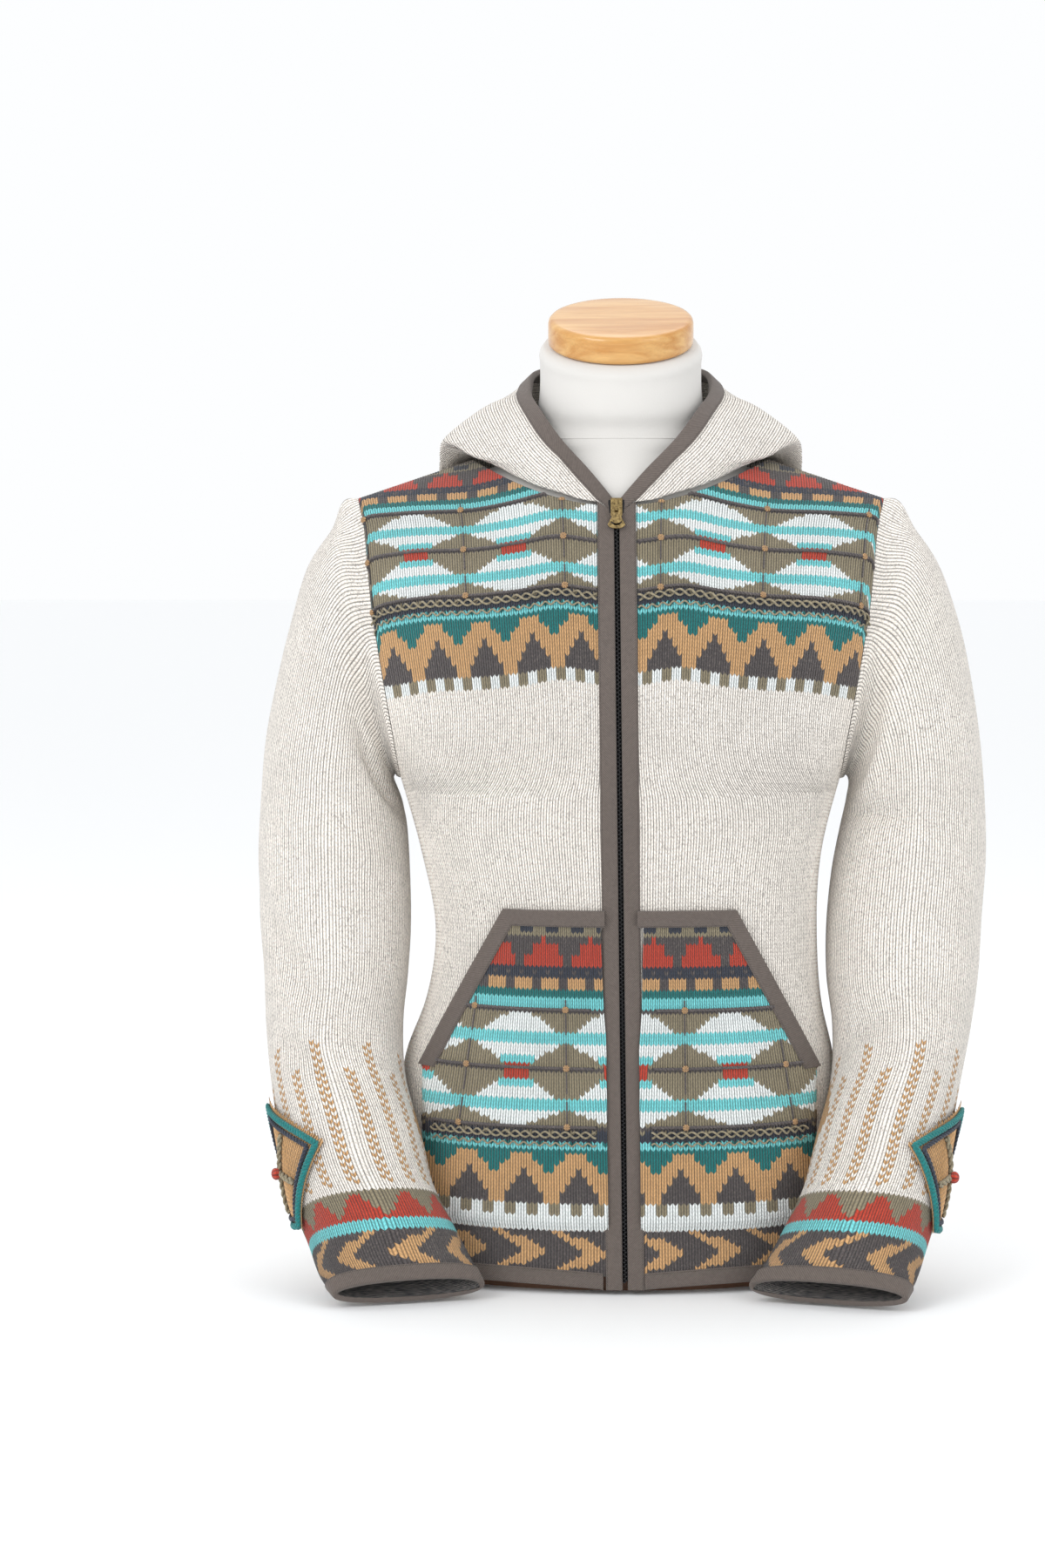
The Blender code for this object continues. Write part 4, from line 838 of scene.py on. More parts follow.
def sleeve_surface(side, places, around):
    """Points of a sleeve at ring places (0 is the first key ring) and angles."""
    keys = sleeve_rings(side, around)
    spot, away = armhole_loop(side, around)
    low = (1 - np.cos(np.radians(around))) / 2
    first = spot + away * (0.15 + 0.4 * low**2)[:, None]
    second = spot + away * (9 - 6 * low)[:, None]
    line = np.concatenate([[first, second], keys])
    at = np.concatenate([[SLEEVE_PLACES[0], -0.9], np.arange(len(keys))])
    made = through(at, line, places)
    for fold_side, ring_a, angle_a, ring_b, angle_b, wide, out in SLEEVE_FOLDS:
        if fold_side != side:
            continue
        a = np.array([ring_a * RING_APART, angle_a])
        b = np.array([ring_b * RING_APART, angle_b])
        here = np.stack(np.meshgrid(np.asarray(places) * RING_APART, around, indexing="ij"), -1)
        share = np.clip(((here - a) @ (b - a)) / ((b - a) @ (b - a)), 0, 1)
        away_from = np.linalg.norm(here - (a + share[..., None] * (b - a)), axis=-1)
        fade = np.sin(np.pi * np.clip(0.12 + 0.76 * share, 0, 1))
        push = FOLD_DEEPER * out * fade * np.exp(-((away_from / wide) ** 2))
        made = made + ring_normals(made) * side * push[..., None]
    return made


SLEEVE_COLUMNS, SLEEVE_ROWS = 84, 262
TRIANGLES = ["RRRRRRRR", "RRRRRRRS", "SRRRRRRS", "SRRRRRSS", "SSRRRRSS", "SSRRRSSS", "SSSRRSSS", "SSSSSSSS"]
DIAMONDS = {1: (47, 13, 7), -1: (45, 8, 5)}  # middle row, half height, half width
CUFF_ROWS, STRIPE_END, TRIANGLE_END, DASH_FOOT, DASH_TOP = 14, 17, 25, 27, 58


def sleeve_place(side):
    turns = np.arange(SLEEVE_COLUMNS * 2) * 180 / SLEEVE_COLUMNS + 180
    surface = sleeve_surface(side, SLEEVE_PLACES, turns % 360)
    surface = np.concatenate([surface, surface[:, :1]], 1)[::-1]
    run = distance_along(surface)

    def place(c, r):
        made = np.zeros((*c.shape, 3))
        for k in range(c.shape[1]):
            line = int(round(c[0, k] * 2))
            made[:, k] = at_distance(r[:, k] * ROW_TALL, run[:, line], surface[:, line])
        return made

    return place


def sleeve_letter(side):
    def letter(c, r):
        made = np.zeros(c.shape, int)
        made = np.where(r < CUFF_ROWS, arrow_pick(c * side, r - 2), made)
        made = np.where((r >= CUFF_ROWS) & (r < STRIPE_END), SLOTS.index("A"), made)
        chart = np.array([slots(row) for row in TRIANGLES])
        step = chart[np.clip(r - STRIPE_END, 0, 7), c % 8]
        made = np.where((r >= STRIPE_END) & (r < TRIANGLE_END), step, made)
        dash = (c % 5 < 2) & ((c % 5 + r) % 2 == 0)
        last = DASH_TOP + (c // 5 * 7) % 15
        made = np.where((r >= DASH_FOOT) & (r < last) & dash, SLOTS.index("T"), made)
        row, tall, wide = DIAMONDS[side]
        near = (c + 0.5) % SLEEVE_COLUMNS
        away = np.minimum(near, SLEEVE_COLUMNS - near) / wide + np.abs(r - row) / tall
        return np.where(away < 1, SLOTS.index("T"), made)

    return letter


sleeve_places = {}
for side, word in SIDES:
    place = sleeve_place(side)
    sleeve_places[side] = place
    letter = sleeve_letter(side)
    made = knit("knit_sleeve_" + word, place, SLEEVE_COLUMNS, SLEEVE_ROWS, letter, legs=2, flip=side > 0)
    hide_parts("sleeve_" + word)

# The hood: it lies back, and its columns run beside the bound edge, so that they end
# one after another at the neck seam.
HOOD = (  # seam (out, height), then four points (out, forward, height) to the rim
    (3.3, 575, 3.3, -98, 578, 3.3, -98, 582, 3.3, -98, 585, 3.3, -98, 588),
    (32, 587.3, 30, -93, 592, 28, -93, 597, 25, -92, 603, 21.5, -90, 609),
    (66, 598, 63, -78, 605, 59, -78, 613, 52, -76, 622, 43, -71, 632),
    (94, 612, 101, -37, 617, 107, -34, 622, 87, -42, 641, 59, -47, 654),
    (108, 621, 122, 1, 625, 138, 6, 628, 105, 6, 659, 69, -9, 672),
    (84, 626.5, 100, 70, 596, 122, 103, 520, 109, 103, 625, 61, 40, 689),
    (0, 630, 0, 107, 545, 0, 121, 434, 0, 142, 588, 0, 84, 694),
)
SEAM_RISE, HOOD_CLEAR = 2.2, 3.0


def hood_lines(stations):
    """Lines of the hood at its stations, each from the neck seam to the rim."""
    table = np.array(HOOD, float)
    seam_y = np.where(
        np.arange(len(table)) < 4,
        -depth(table[:, 0], table[:, 1]) - 0.2,
        depth(table[:, 0], table[:, 1], behind=True) + 1.0,
    )
    seam_y[4] = 0
    seam = np.stack([table[:, 0], seam_y, table[:, 1] + SEAM_RISE], -1)
    key = np.concatenate([seam[:, None], table[:, 2:].reshape(len(table), 4, 3)], 1)
    mirrored = key[-2::-1] * np.array([-1, 1, 1])
    key = np.concatenate([key, mirrored])
    along = through(np.arange(len(key)), key, stations)
    rows = np.linspace(0, 4, 161)
    made = through(np.arange(5), np.moveaxis(along, 1, 0), rows)
    x, y, z = made[..., 0], made[..., 1], made[..., 2]
    x = x + zip_place(FRONT_NECK) * np.clip(1 - np.abs(x) / NECK_OUT, 0, 1) * np.clip(-y / 40, 0, 1)
    lift = np.where(y[0] < -20, front_top(x[0]) + SEAM_RISE - z[0], 0)
    z = z + np.maximum(lift, 0) * (1 - rows[:, None] / 4) ** 2
    low = rows[:, None] > 0.05
    under = (z < shoulder_height(x) + HOOD_CLEAR) & low
    back_face = SEAM + depth(x, z - HOOD_CLEAR, behind=True) + HOOD_CLEAR
    front_face = -SEAM - depth(x, z - HOOD_CLEAR) - HOOD_CLEAR * 0.4
    y = np.where(under & (y > 0), np.maximum(y, back_face), y)
    y = np.where(under & (y <= 0), np.minimum(y, front_face), y)
    corner = np.clip(1 - (np.abs(x - zip_place(FRONT_NECK)) - 16) / 26, 0, 1) * (y < 0)
    y = y * (1 - corner) - (SEAM + depth(x, z)) * corner
    return np.stack([x, y, z], -1)


HOOD_STITCH, HOOD_ROWS = 4.1, 250
STATIONS = 601
lines = hood_lines(np.linspace(0, 12, STATIONS))[::-1]
run = distance_along(lines)
hood_down, hood_out = lines, run
HOOD_COLUMNS = int(run[-1].max() / HOOD_STITCH) + 1
distances = np.arange(HOOD_COLUMNS * 2 + 1) * HOOD_STITCH / 2
hood_table = np.array([at_distance(distances, run[:, s], lines[:, s]) for s in range(STATIONS)])
rim_run, mid_run = distance_along(lines[0]), distance_along(hood_table[:, 40])
hood_run = (rim_run / rim_run[-1] + mid_run / mid_run[-1]) / 2


def hood_place(c, r):
    at = np.interp(np.clip(r / HOOD_ROWS, 0, 1), hood_run, np.arange(STATIONS))
    low = np.clip(at.astype(int), 0, STATIONS - 2)
    mix = (at - low)[..., None]
    column = np.clip(np.round(c * 2).astype(int), 0, len(distances) - 1)
    return hood_table[low, column] * (1 - mix) + hood_table[low + 1, column] * mix


def plain(c, r):
    return 0 * c


made = knit("knit_hood", hood_place, HOOD_COLUMNS, HOOD_ROWS, plain, legs=2)
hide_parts("hood")

# Insides: the wrong side of the hood in cream, and dark floats of wool in the cuffs.
# Each is a sheet one wall's thickness under its outer one.
INSIDE_STEP, FLOAT_ROWS = 3, 40


def inside(name, place, columns, rows, start, finish, flip):
    c, r = np.meshgrid(np.arange(columns * 2 + 1) / 2, np.arange(start, rows + 1, INSIDE_STEP, dtype=float))
    grid = place(c, r)
    grid = grid - grid_normals(grid) * (-1 if flip else 1) * WALL
    faces = np.array(ring_faces(*c.shape, closed=False))
    if not flip:
        faces = faces[:, ::-1]
    return sheet_piece(name, grid, faces, c, r, LEAST_INSIDE, finish)


made = inside("hood_inside", hood_place, HOOD_COLUMNS, HOOD_ROWS, 0, yarns[0], False)
floats, tree, shader = blank("wool_floats_dark_grey")
uv = add(tree, "UVMap", {"uv_map": "thread"})
parts = add(tree, "SeparateXYZ", Vector=uv)
line = add(tree, "Math", "SINE", add(tree, "Math", "MULTIPLY", parts.outputs[1], 4 * math.pi))
stretch = add(tree, "Mapping", Vector=uv, Scale=(0.6, 5.0, 1.0))
mottle = add(tree, "TexNoise", Vector=stretch, Scale=1.0, Detail=3.0)
greys = add(tree, "ValToRGB", {"stops": ((0.38, "3E4046"), (0.66, "A09A94"))}, mottle)
bump = add(tree, "Bump", Height=line, Distance=0.0008, Strength=0.8)
feed(shader, Base_Color=greys, Roughness=0.95, Normal=bump)
for side, word in SIDES:
    made = inside("cuff_floats_" + word, sleeve_places[side], SLEEVE_COLUMNS, FLOAT_ROWS, 0, floats, side > 0)

# The two pockets: the yoke's chart again over a white band, on a pouch sewn to each
# front. Its columns fan out downwards, and its rows are level.
POCKET_IN, POCKET_CORNER, POCKET_SIDE = 15.0, 85, 148
POCKET_TOP, POCKET_TURN, POCKET_FOOT = 284, 163, 49
POCKET_RAISE = LAY + 0.8 + WALL
SEWN_DOWN = 4.0  # the pocket comes down to the front in this far at its foot and side
POCKET_COLUMNS, POCKET_ROWS, WHITE_ROWS = 40, 82, 4
POCKET_BOBBLE = {1: (9, 45.6), -1: (8, 41.4)}  # column of the first bobble, mm from the zip


def facing(x, z):
    """The chest's outward normal."""
    across = front_point(x + 0.5, z) - front_point(x - 0.5, z)
    up = front_point(x, z + 0.5) - front_point(x, z - 0.5)
    return unit(np.cross(across, up))


def pocket_out(z):
    slant = np.clip((z - POCKET_TURN) / (POCKET_TOP - POCKET_TURN), 0, 1)
    return POCKET_SIDE + (POCKET_CORNER - POCKET_SIDE) * slant


def on_pocket(x, z):
    return front_point(x, z) + facing(x, z) * POCKET_RAISE


def pocket_place(side):
    column, start = POCKET_BOBBLE[side]

    def place(c, r):
        z = np.minimum(POCKET_FOOT + r * ROW_TALL, POCKET_TOP)
        wide = np.interp(z, (49, 125, 168, 211, 284), (4.1, 3.97, 3.65, 3.3, 3.05))
        out = start + (c - column - 0.5) * wide
        x = np.clip(out + side * zip_place(z), POCKET_IN - 3 + side * zip_place(z), pocket_out(z))
        sewn = np.minimum(z - POCKET_FOOT, np.where(z < POCKET_TURN, pocket_out(z) - x, POCKET_TOP))
        raised = POCKET_RAISE * (0.2 + 0.8 * np.clip(sewn / SEWN_DOWN, 0, 1))
        return front_point(side * x, z) + facing(side * x, z) * raised[..., None]

    return place


def pocket_letter(side):
    column = POCKET_BOBBLE[side][0]

    def letter(c, r):
        down = WHITE_ROWS + len(CHART) - 1 - r
        made = chart_pick(c, down, 10 - column, ZIGZAG_SHIFT[side])
        high = (down >= 4) & (down < 12)
        wide = chart_pick(c * 9 // 11, down, 0, 3)
        made = np.where(high, wide, made)
        made = np.where(down < 0, SLOTS.index("S"), made)
        return np.where(r < WHITE_ROWS, SLOTS.index("W"), made)

    return letter


pocket_places = {}
for side, word in SIDES:
    place = pocket_place(side)
    pocket_places[side] = place
    lift = ridge_lift(WHITE_ROWS, 0.7)
    letter = pocket_letter(side)
    made = knit("knit_pocket_" + word, place, POCKET_COLUMNS, POCKET_ROWS, letter, lift=lift, flip=side < 0)
    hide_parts("pocket_" + word)

# Binding: cotton twill tape folded over every raw edge and stitched down 1.6 mm from
# the tape's own edge. Its diagonal ribs are drawn at 1.7 mm, coarser than real ones, so
# that they show.
twill, tree, shader = blank("cotton_twill_tape_taupe")
uv = add(tree, "UVMap", {"uv_map": "thread"})
parts = add(tree, "SeparateXYZ", Vector=uv)
along, across = parts.outputs[0], parts.outputs[1]
TWILL_RIB, STITCH_ROW, STITCH_LONG = 1.7, 2.3, 2.6
slope = add(tree, "Math", "ADD", along, across)
rib = add(tree, "Math", "SINE", add(tree, "Math", "MULTIPLY", slope, 2 * math.pi / TWILL_RIB))
off_line = add(tree, "Math", "ABSOLUTE", add(tree, "Math", "SUBTRACT", across, STITCH_ROW))
near_line = add(tree, "Math", "LESS_THAN", off_line, 0.3)
stitch = add(tree, "Math", "FRACT", add(tree, "Math", "MULTIPLY", along, 1 / STITCH_LONG))
stitched = add(tree, "Math", "LESS_THAN", stitch, 0.78)
sewn = add(tree, "Math", "MULTIPLY", near_line, stitched)
coords = add(tree, "TexCoord").outputs["Object"]
slub = add(tree, "TexNoise", Vector=coords, Scale=420.0, Detail=4.0)
tone = add(tree, "Math", "MULTIPLY_ADD", rib, 0.2, add(tree, "Math", "MULTIPLY_ADD", slub, 0.5, 0.68))
tone = add(tree, "Math", "SUBTRACT", tone, add(tree, "Math", "MULTIPLY", sewn, 0.28))
colour = add(tree, "VectorMath", "SCALE", linear("685E58")[:3], Scale=tone)
sunk = add(tree, "Math", "MULTIPLY", sewn, 2.0)
height = add(tree, "Math", "SUBTRACT", add(tree, "Math", "MULTIPLY", rib, 0.5), sunk)
bump = add(tree, "Bump", Height=height, Distance=0.0003, Strength=0.8)
feed(shader, Base_Color=colour, Roughness=0.9, Sheen_Weight=0.15, Normal=bump)

TAPE_OUTER = [(0, 0.1, 0.1), (0, -0.3, 0.55), (0, 0.0, 1.0), (0.1, 0, 1.08), (0.35, 0, 1.05), (0.65, 0, 1.1)]
TAPE_OUTER += [(0.9, 0, 1.06), (1, 0.3, 1.0), (1, 0.8, 0.72), (1, 1.02, 0.2), (1, 1.04, -0.3)]


def tape(name, edge, leg, sign, node, both=True, closed=False):
    """Tape folded over a cloth edge: each point of its section is a share of the way to
    the edge, then mm beyond it and above the cloth, in tape thicknesses with the gap."""
    far = TAPE_GAP + TAPE_THICK
    if closed:
        along = np.roll(edge, -1, 0) - np.roll(edge, 1, 0)
    else:
        along = np.gradient(edge, axis=0)
    normal = unit(np.cross(along, edge - leg)) * sign
    beyond = unit(edge - leg)
    section = [(share, out * far, up * far) for share, out, up in TAPE_OUTER]
    under = [(share, out, -WALL - up) for share, out, up in section[::-1]]
    section += under if both else under[:3]
    rows = [leg * (1 - share) + edge * share + beyond * out + normal * up for share, out, up in section]
    points = np.stack(rows)
    step = np.linalg.norm(np.diff(edge, axis=0, append=edge[:1]), axis=-1)
    length = np.concatenate([[0], np.cumsum(step)])
    wide = distance_along(points[:, len(edge) // 2])
    count = len(edge)
    faces = np.array(ring_faces(len(section), count, closed=closed))
    if sign < 0:
        faces = faces[:, ::-1]
    column = unrolled(faces % count, count) if closed else faces % count
    thread = np.stack([length[column], wide[faces // count]], -1).reshape(-1, 2)
    made = piece(name, points.reshape(-1, 3), faces.tolist(), twill, uv=thread)
    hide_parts(node)
    return made


for side, word in SIDES:
    z = np.linspace(HEM_LOW, 579, 260)
    x = zip_place(z) + side * CORNER_OUT
    leg = front_point(x + side * TAPE_WIDE, z + 7 * np.clip((z - 560) / 19, 0, 1))
    tape("front_tape_" + word, front_point(x, z), leg, side, "binding_front_" + word)
    # along the slanting mouth of the pocket, then along its top, mitred at the corner
    slant = math.atan2(POCKET_SIDE - POCKET_CORNER, POCKET_TOP - POCKET_TURN)
    thick = TAPE_WIDE / math.cos(slant)
    low = POCKET_TOP - TAPE_WIDE
    inner_end = POCKET_IN - 3 + side * zip_place(POCKET_TOP)
    outer_line = [(POCKET_SIDE, POCKET_TURN), (POCKET_CORNER, POCKET_TOP), (inner_end, POCKET_TOP)]
    inner_line = [(POCKET_SIDE - thick, POCKET_TURN), (float(pocket_out(low)) - thick, low), (inner_end, low)]
    lines = []
    for corner in (outer_line, inner_line):
        spots = [np.linspace(corner[0], corner[1], 60)[:-1], np.linspace(corner[1], corner[2], 40)]
        spots = np.concatenate(spots)
        lines.append(on_pocket(side * spots[:, 0], spots[:, 1]))
    tape("pocket_tape_" + word, lines[0], lines[1], -side, "binding_pocket_" + word)
    c = np.arange(SLEEVE_COLUMNS * 2)[None, :] / 2
    edge = sleeve_places[side](c, 0 * c)[0]
    leg = sleeve_places[side](c, 0 * c + TAPE_WIDE / ROW_TALL)[0]
    tape("cuff_tape_" + word, edge, leg, side, "binding_cuff_" + word, both=False, closed=True)

strip = []
for up in (0, TAPE_WIDE):
    share = np.linspace(0.05, 1, 70)  # the front tapes cover the rest
    z = hem_height(share) + up
    left = front_point(out_across(share, z, 1) + ring_sizes(z)[3], z)
    right = front_point(-out_across(share, z, -1) + ring_sizes(z)[3], z)
    signed = np.linspace(-1, 1, 140)[1:-1]
    z = hem_height(np.abs(signed)) + up
    behind = back_point(-np.sign(signed) * out_across(np.abs(signed), z, 0) + ring_sizes(z)[3], z)
    strip.append(np.concatenate([left, behind, right[::-1]]))
tape("hem_tape", strip[0], strip[1], -1, "binding_hem")

inward = np.minimum(TAPE_WIDE, 0.8 * hood_out[-1])
leg = np.array([at_distance(inward[s], hood_out[:, s], hood_down[:, s]) for s in range(STATIONS)])
tape("hood_tape", hood_down[0], leg, 1, "binding_hood")

# Zip: black moulded teeth in the gap between the tapes, on black woven tape whose
# folded ends show beside the slider. Slider and pull are the solids, in aged brass.
TOOTH_PITCH = 1.5
nylon, tree, shader = blank("black_moulded_acetal")
feed(shader, Base_Color=linear("17171A"), Roughness=0.45)
woven, tree, shader = blank("black_polyester_zip_tape")
feed(shader, Base_Color=linear("1B1B1E"), Roughness=0.9)
points, faces = [], []
for k, z in enumerate(np.arange(9.5, 572.5, TOOTH_PITCH)):
    x = float(zip_place(z)) + (0.55 if k % 2 else -0.55)
    y = -SEAM - float(depth(np.array(x), np.array(z))) - 0.1
    start = len(points)
    for a, b, c in ((i, j, m) for i in (-0.95, 0.95) for j in (-0.5, 1.6) for m in (-0.5, 0.5)):
        points.append((x + a * (0.8 if b < 0 else 1), y + b, z + c * (0.75 if b < 0 else 1)))
    for quad in ((0, 1, 3, 2), (4, 6, 7, 5), (0, 4, 5, 1), (2, 3, 7, 6), (0, 2, 6, 4), (1, 5, 7, 3)):
        faces.append([start + i for i in quad])
teeth = piece("moulded_teeth", points, faces, nylon, smooth=False)
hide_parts("zip_teeth")
for side, word in SIDES:
    finish_solid("zip_tape_" + word, woven)
    rows = []
    fold = np.array([1.2, 1.7, 1.9, 1.7, 1.2])[:, None]
    for z, near, far in ((577.5, 2.3, 5.6), (581, 2.4, 6.0), (584.5, 2.8, 6.4), (587, 3.6, 6.2)):
        x = zip_place(z) + side * np.linspace(near, far, 5)
        z = np.full(5, z)
        rows.append(front_point(x, z) + facing(x, z) * fold)
    faces = ring_faces(4, 5, closed=False)
    if side < 0:
        faces = [face[::-1] for face in faces]
    made = piece("zip_tape_end_" + word, np.concatenate(rows), faces, woven)
brass, tree, shader = blank("antiqued_brass_die_cast")
coords = add(tree, "TexCoord").outputs["Object"]
wear = add(tree, "TexNoise", Vector=coords, Scale=500.0, Detail=4.0)
aged = add(tree, "ValToRGB", {"stops": ((0.35, "6B5B40"), (0.7, "B79F6C"))}, wear)
feed(shader, Base_Color=aged, Metallic=1.0, Roughness=0.36)
for name in ("zip_slider", "zip_pull"):
    finish_solid(name, brass)

# Raised yarn on the colourwork: charcoal cords along the three ridges with small tan
# bobbles at the diamonds' middles, a twisted sage pair over the navy band, and a wavy
# sage chain under it. All are worked in wool on top of the knitting.
CORD_STEP, CORD_SIDES = 1.1, 6
FIRST_COLUMN = 3.2  # the front's binding hides the stitches before it


def cords(name, line, normal, letter, strands, radius, spread, pitch=5.0, wave=None):
    """Strands of yarn twisted about a line that lies on the cloth."""
    run = distance_along(line)
    count = max(int(run[-1] / CORD_STEP), 8)
    at = np.linspace(0, run[-1], count)
    line = at_distance(at, run, line)
    normal = unit(at_distance(at, run, normal))
    ahead = unit(np.gradient(line, axis=0))
    aside = unit(np.cross(normal, ahead))
    points, faces, thread = [], [], []
    sides = CORD_SIDES
    turn = np.arange(sides) / sides * 2 * math.pi
    for k in range(strands):
        phase = 2 * math.pi * (at / pitch + k / strands)
        middle = line + aside * (np.cos(phase) * spread)[:, None]
        middle = middle + normal * (np.sin(phase) * spread * 0.6 + radius * 0.6)[:, None]
        if wave:
            middle = middle + aside * (np.sin(2 * math.pi * at / wave[0]) * wave[1])[:, None]
        lean = unit(np.gradient(middle, axis=0))
        across = unit(np.cross(normal, lean))
        top = unit(np.cross(lean, across))
        ring = across[:, None] * np.sin(turn)[:, None] - top[:, None] * np.cos(turn)[:, None]
        tube = middle[:, None] + ring * radius
        start = len(points) * count * sides
        points.append(tube.reshape(-1, 3))
        quads = np.array(ring_faces(count, sides))
        faces += (quads + start).tolist()
        row, column = quads // sides, unrolled(quads % sides, sides)
        thread.append(np.stack([column / sides * 0.5, at[row] / 3.0], -1).reshape(-1, 2))
    return piece(name, np.concatenate(points), faces, yarns[SLOTS.index(letter)], uv=np.concatenate(thread))


def bobble(name, middle, normal, radius, letter, flat=0.6):
    """A knot of wool, wound round and pressed on to the cloth."""
    up = Vector(normal).to_track_quat("Z", "Y").to_matrix()
    rows, rings = [], 8
    turns = np.linspace(0, 2 * math.pi, 17)[:-1]
    for k in range(rings + 1):
        polar = math.pi * (0.02 + 0.96 * k / rings)
        bulge = 1 + 0.05 * np.cos(4 * turns + 2 * polar)
        ring = np.stack([np.sin(polar) * np.cos(turns) * bulge, np.sin(polar) * np.sin(turns) * bulge], -1)
        rows.append(np.concatenate([ring, np.full((16, 1), -math.cos(polar) * flat)], -1) * radius)
    points = np.concatenate(rows) @ np.array(up).T + middle
    faces = np.array(ring_faces(rings + 1, 16))
    row, column = faces // 16, unrolled(faces % 16, 16)
    thread = np.stack([column / 16 * 4, row / rings * 4], -1).reshape(-1, 2)
    return piece(name, points, faces.tolist(), yarns[SLOTS.index(letter)], uv=thread)


def across_rows(place, first, last, row, raise_by):
    """A line along a row of stitches, and the cloth's normal beside it."""
    c = np.linspace(first, last, int((last - first) * 4) + 1)[None, :]
    spots = place(c, 0 * c + row)[0]
    above = place(c, 0 * c + row + 0.5)[0]
    normal = unit(np.cross(np.gradient(spots, axis=0), above - spots))
    normal = normal * np.sign(-normal[:, 1:2])
    return spots + normal * raise_by, normal


CORD_ROWS = (  # name, rows below the chart's top, yarn, strands, radius, spread, pitch, wave (long, high)
    ("twisted_pair", 55.5, "S", 2, 0.85, 2.2, 15.0, None),
    ("wavy_chain", 58.0, "S", 1, 0.7, 0.0, 5.0, (8.0, 1.3)),
)

trims = {"front": {1: [], -1: []}, "pocket": {1: [], -1: []}}
for part, places, foot, columns, bobbles in (
    ("front", front_places, BAND_ROWS + PLAIN_ROWS, FRONT_COLUMNS, BOBBLE_COLUMN),
    ("pocket", pocket_places, WHITE_ROWS, 0, {s: POCKET_BOBBLE[s][0] for s in (1, -1)}),
):
    for side, word in SIDES:
        place = places[side]

        def last_column(row):
            """The last stitch of a row that lies on the piece."""
            if columns:
                return columns - 0.3
            c = np.arange(0, POCKET_COLUMNS, 0.25)[None, :]
            spots = place(c, 0 * c + row)[0]
            inside = np.abs(spots[:, 0]) < pocket_out(spots[:, 2]) - 8
            return c[0][inside].max()

        def made_of(name, kind):
            return "%s_%s_%s_%s" % (part, kind, name, word)

        def sewn_on(made):
            """Yarn worked on to the piece, listed among its trims; it rides on the same body as the piece."""
            trims[part][side].append(made)

        for n, i in enumerate(RIDGES):
            row = foot + len(CHART) - 0.5 - i
            line, normal = across_rows(place, FIRST_COLUMN, last_column(row), row, 1.0)
            sewn_on(cords(made_of(str(n), "ridge"), line, normal, "C", 2, 0.75, 0.6, 6))
            for column in np.arange(bobbles[side] + 0.5, last_column(row), 20):
                line, normal = across_rows(place, column - 0.5, column + 0.5, row, 2.0)
                middle = len(line) // 2
                knot = "%d_%d" % (n, column)
                sewn_on(bobble(made_of(knot, "bobble"), line[middle], normal[middle], 2.5, "T"))
                r = np.linspace(row - (0.5 if n == 2 else 6.5), row + (2.5 if n == 0 else 6.5), 28)[:, None]
                spots = place(0 * r + column, r)[:, 0]
                aside = spots - place(0 * r + column + 0.5, r)[:, 0]
                normal = unit(np.cross(np.gradient(spots, axis=0), aside))
                normal = normal * np.sign(-normal[:, 1:2])
                sewn_on(cords(made_of(knot, "upright"), spots + normal * 0.4, normal, "C", 1, 0.6, 0))
        for name, down, letter, strands, radius, spread, pitch, wave in CORD_ROWS:
            row = foot + len(CHART) - down
            line, normal = across_rows(place, FIRST_COLUMN, last_column(row), row, 0.9)
            sewn_on(cords(made_of(name, "cord"), line, normal, letter, strands, radius, spread, pitch, wave))

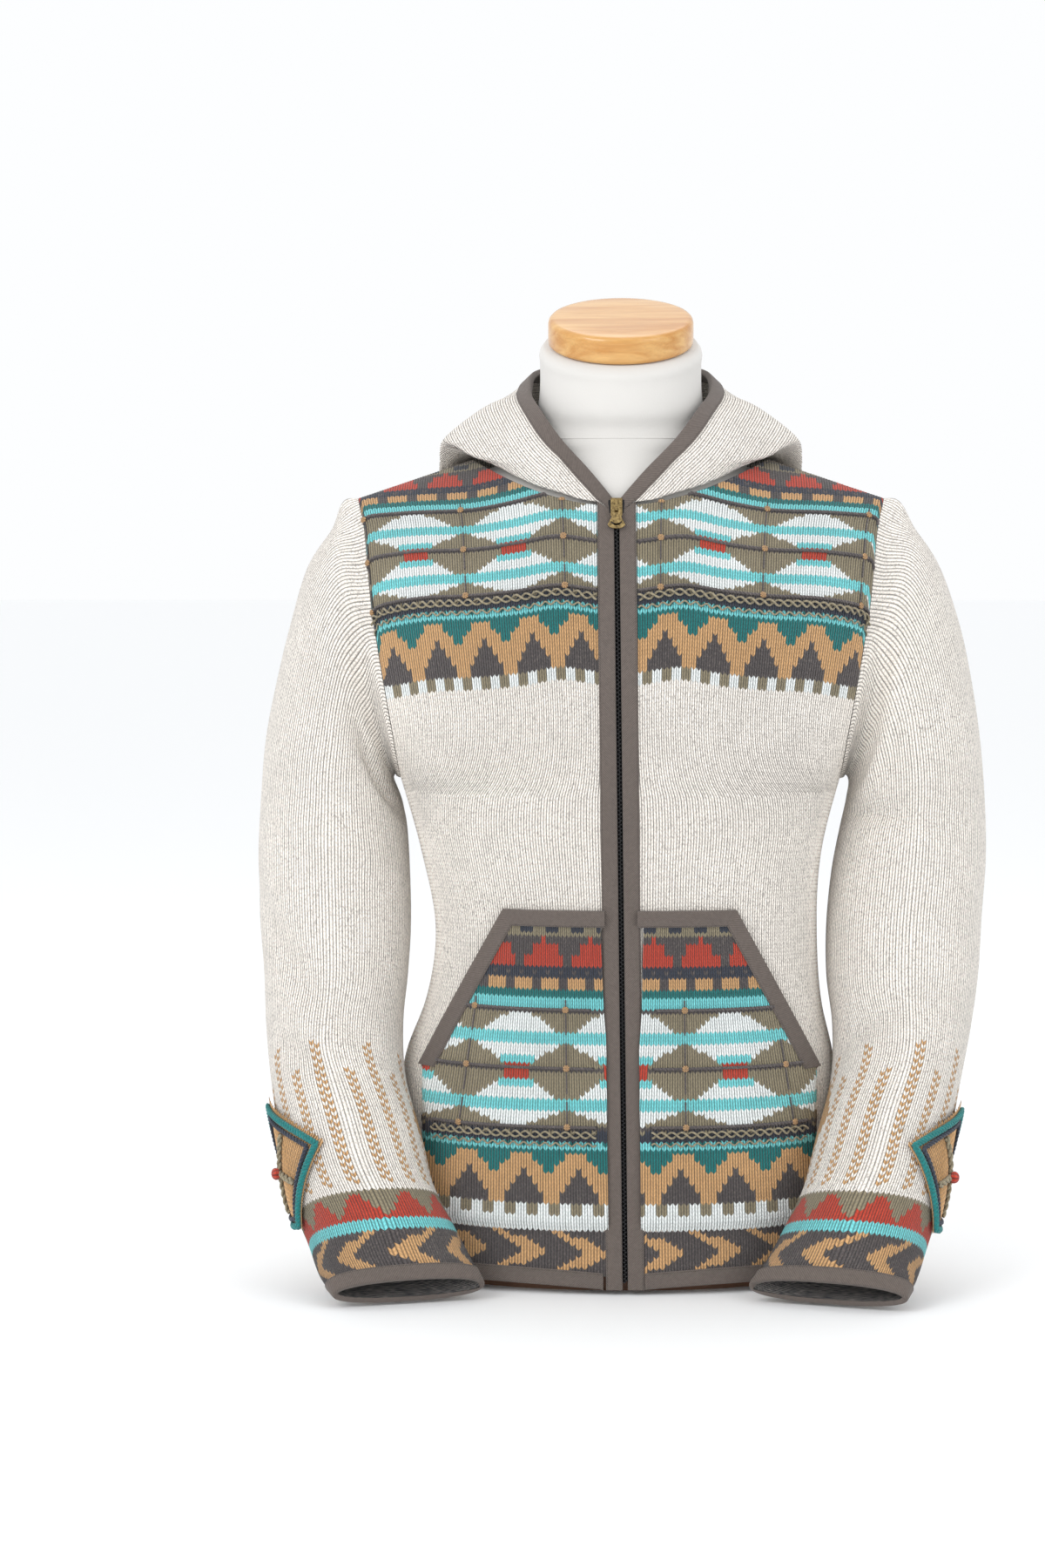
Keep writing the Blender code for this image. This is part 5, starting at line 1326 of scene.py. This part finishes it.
for side in (1, -1):
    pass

# Sleeve patches: a tan knitted diamond on the outer side of each forearm, with a sage
# cable cross, a rust bobble, and an edge of teal and navy crochet.
PATCH_RING, PATCH_ANGLE, PATCH_LONG, PATCH_WIDE = 11.6, 8, 1.28, 62
PATCH_UP, PATCH_HALF = 3.1, 36.0
PATCH_FROM, PATCH_TO, PATCH_STEP, TURN_STEP = 9.8, 13.4, 0.06, 3.0  # rings, and degrees
for side, word in SIDES:
    grid_at = np.arange(PATCH_FROM, PATCH_TO, PATCH_STEP)
    grid_turn = np.arange(0, 360, TURN_STEP)
    surface = sleeve_surface(side, SLEEVE_PLACES, grid_turn)
    read = [at_distance(grid_at, SLEEVE_PLACES, surface[:, j]) for j in range(len(grid_turn))]
    surface = np.stack(read, 1)
    facings = ring_normals(surface) * side

    def on_patch(first, second, up):
        """A point of the patch, from shares of its two sides, this far above the cloth."""
        i = (((first + second) / 2 * PATCH_LONG + PATCH_RING) - PATCH_FROM) / PATCH_STEP
        j = (((first - second) / 2 * PATCH_WIDE + PATCH_ANGLE) % 360) / TURN_STEP
        i0 = np.clip(np.floor(i).astype(int), 0, len(grid_at) - 2)
        j0 = np.floor(j).astype(int) % len(grid_turn)
        a, b, j1 = (i - i0)[..., None], (j - np.floor(j))[..., None], (j0 + 1) % len(grid_turn)
        read = []
        for field in (surface, facings):
            near = field[i0, j0] * (1 - a) + field[i0 + 1, j0] * a
            far = field[i0, j1] * (1 - a) + field[i0 + 1, j1] * a
            read.append(near * (1 - b) + far * b)
        normal = unit(read[1])
        return read[0] + normal * up, normal

    def patch_place(c, r):
        return on_patch(c / 10 - 1, r / 12 - 1, PATCH_UP)[0]

    def patch_letter(c, r):
        return np.full(c.shape, SLOTS.index("T"))

    c, r = np.meshgrid([10.0, 11.0], [12.0, 13.0])
    spots = patch_place(c, r)
    middle, out = on_patch(np.zeros(1), np.zeros(1), PATCH_UP)
    turned = np.cross(spots[0, 1] - spots[0, 0], spots[1, 0] - spots[0, 0]) @ out[0]
    made = knit("knit_patch_" + word, patch_place, 20, 24, patch_letter, flip=bool(turned < 0))
    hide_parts("patch_" + word)
    for kind, inset, letter, strands, radius, spread, pitch in (
        ("teal_crochet", 3.2, "D", 3, 1.35, 1.5, 8.0),
        ("navy_crochet", 8.2, "N", 2, 1.05, 1.0, 6.5),
    ):
        m = 1 - inset / PATCH_HALF
        run = np.linspace(-m, m, 41)
        first = np.concatenate([run, 0 * run + m, -run, 0 * run - m])
        second = np.concatenate([0 * run - m, run, 0 * run + m, -run])
        line, normal = on_patch(first, second, PATCH_UP + 0.8)
        step = np.linalg.norm(np.diff(line, axis=0), axis=-1) > 0.01
        kept = np.concatenate([[True], step])
        name = "patch_%s_%s" % (kind, word)
        made = cords(name, line[kept], normal[kept], letter, strands, radius, spread, pitch)
    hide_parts("patch_outline_" + word)
    reach = np.linspace(-0.7, 0.7, 50)
    for kind, first, second in (("long", reach, 0 * reach), ("short", 0 * reach, reach)):
        line, normal = on_patch(first, second, PATCH_UP + 0.7)
        made = cords("patch_cable_%s_%s" % (kind, word), line, normal, "S", 2, 1.3, 1.5, 12.0)
    made = bobble("wound_bobble_" + word, middle[0] + out[0] * 4.6, out[0], 4.6, "R", flat=0.8)
    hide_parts("patch_bobble_" + word)
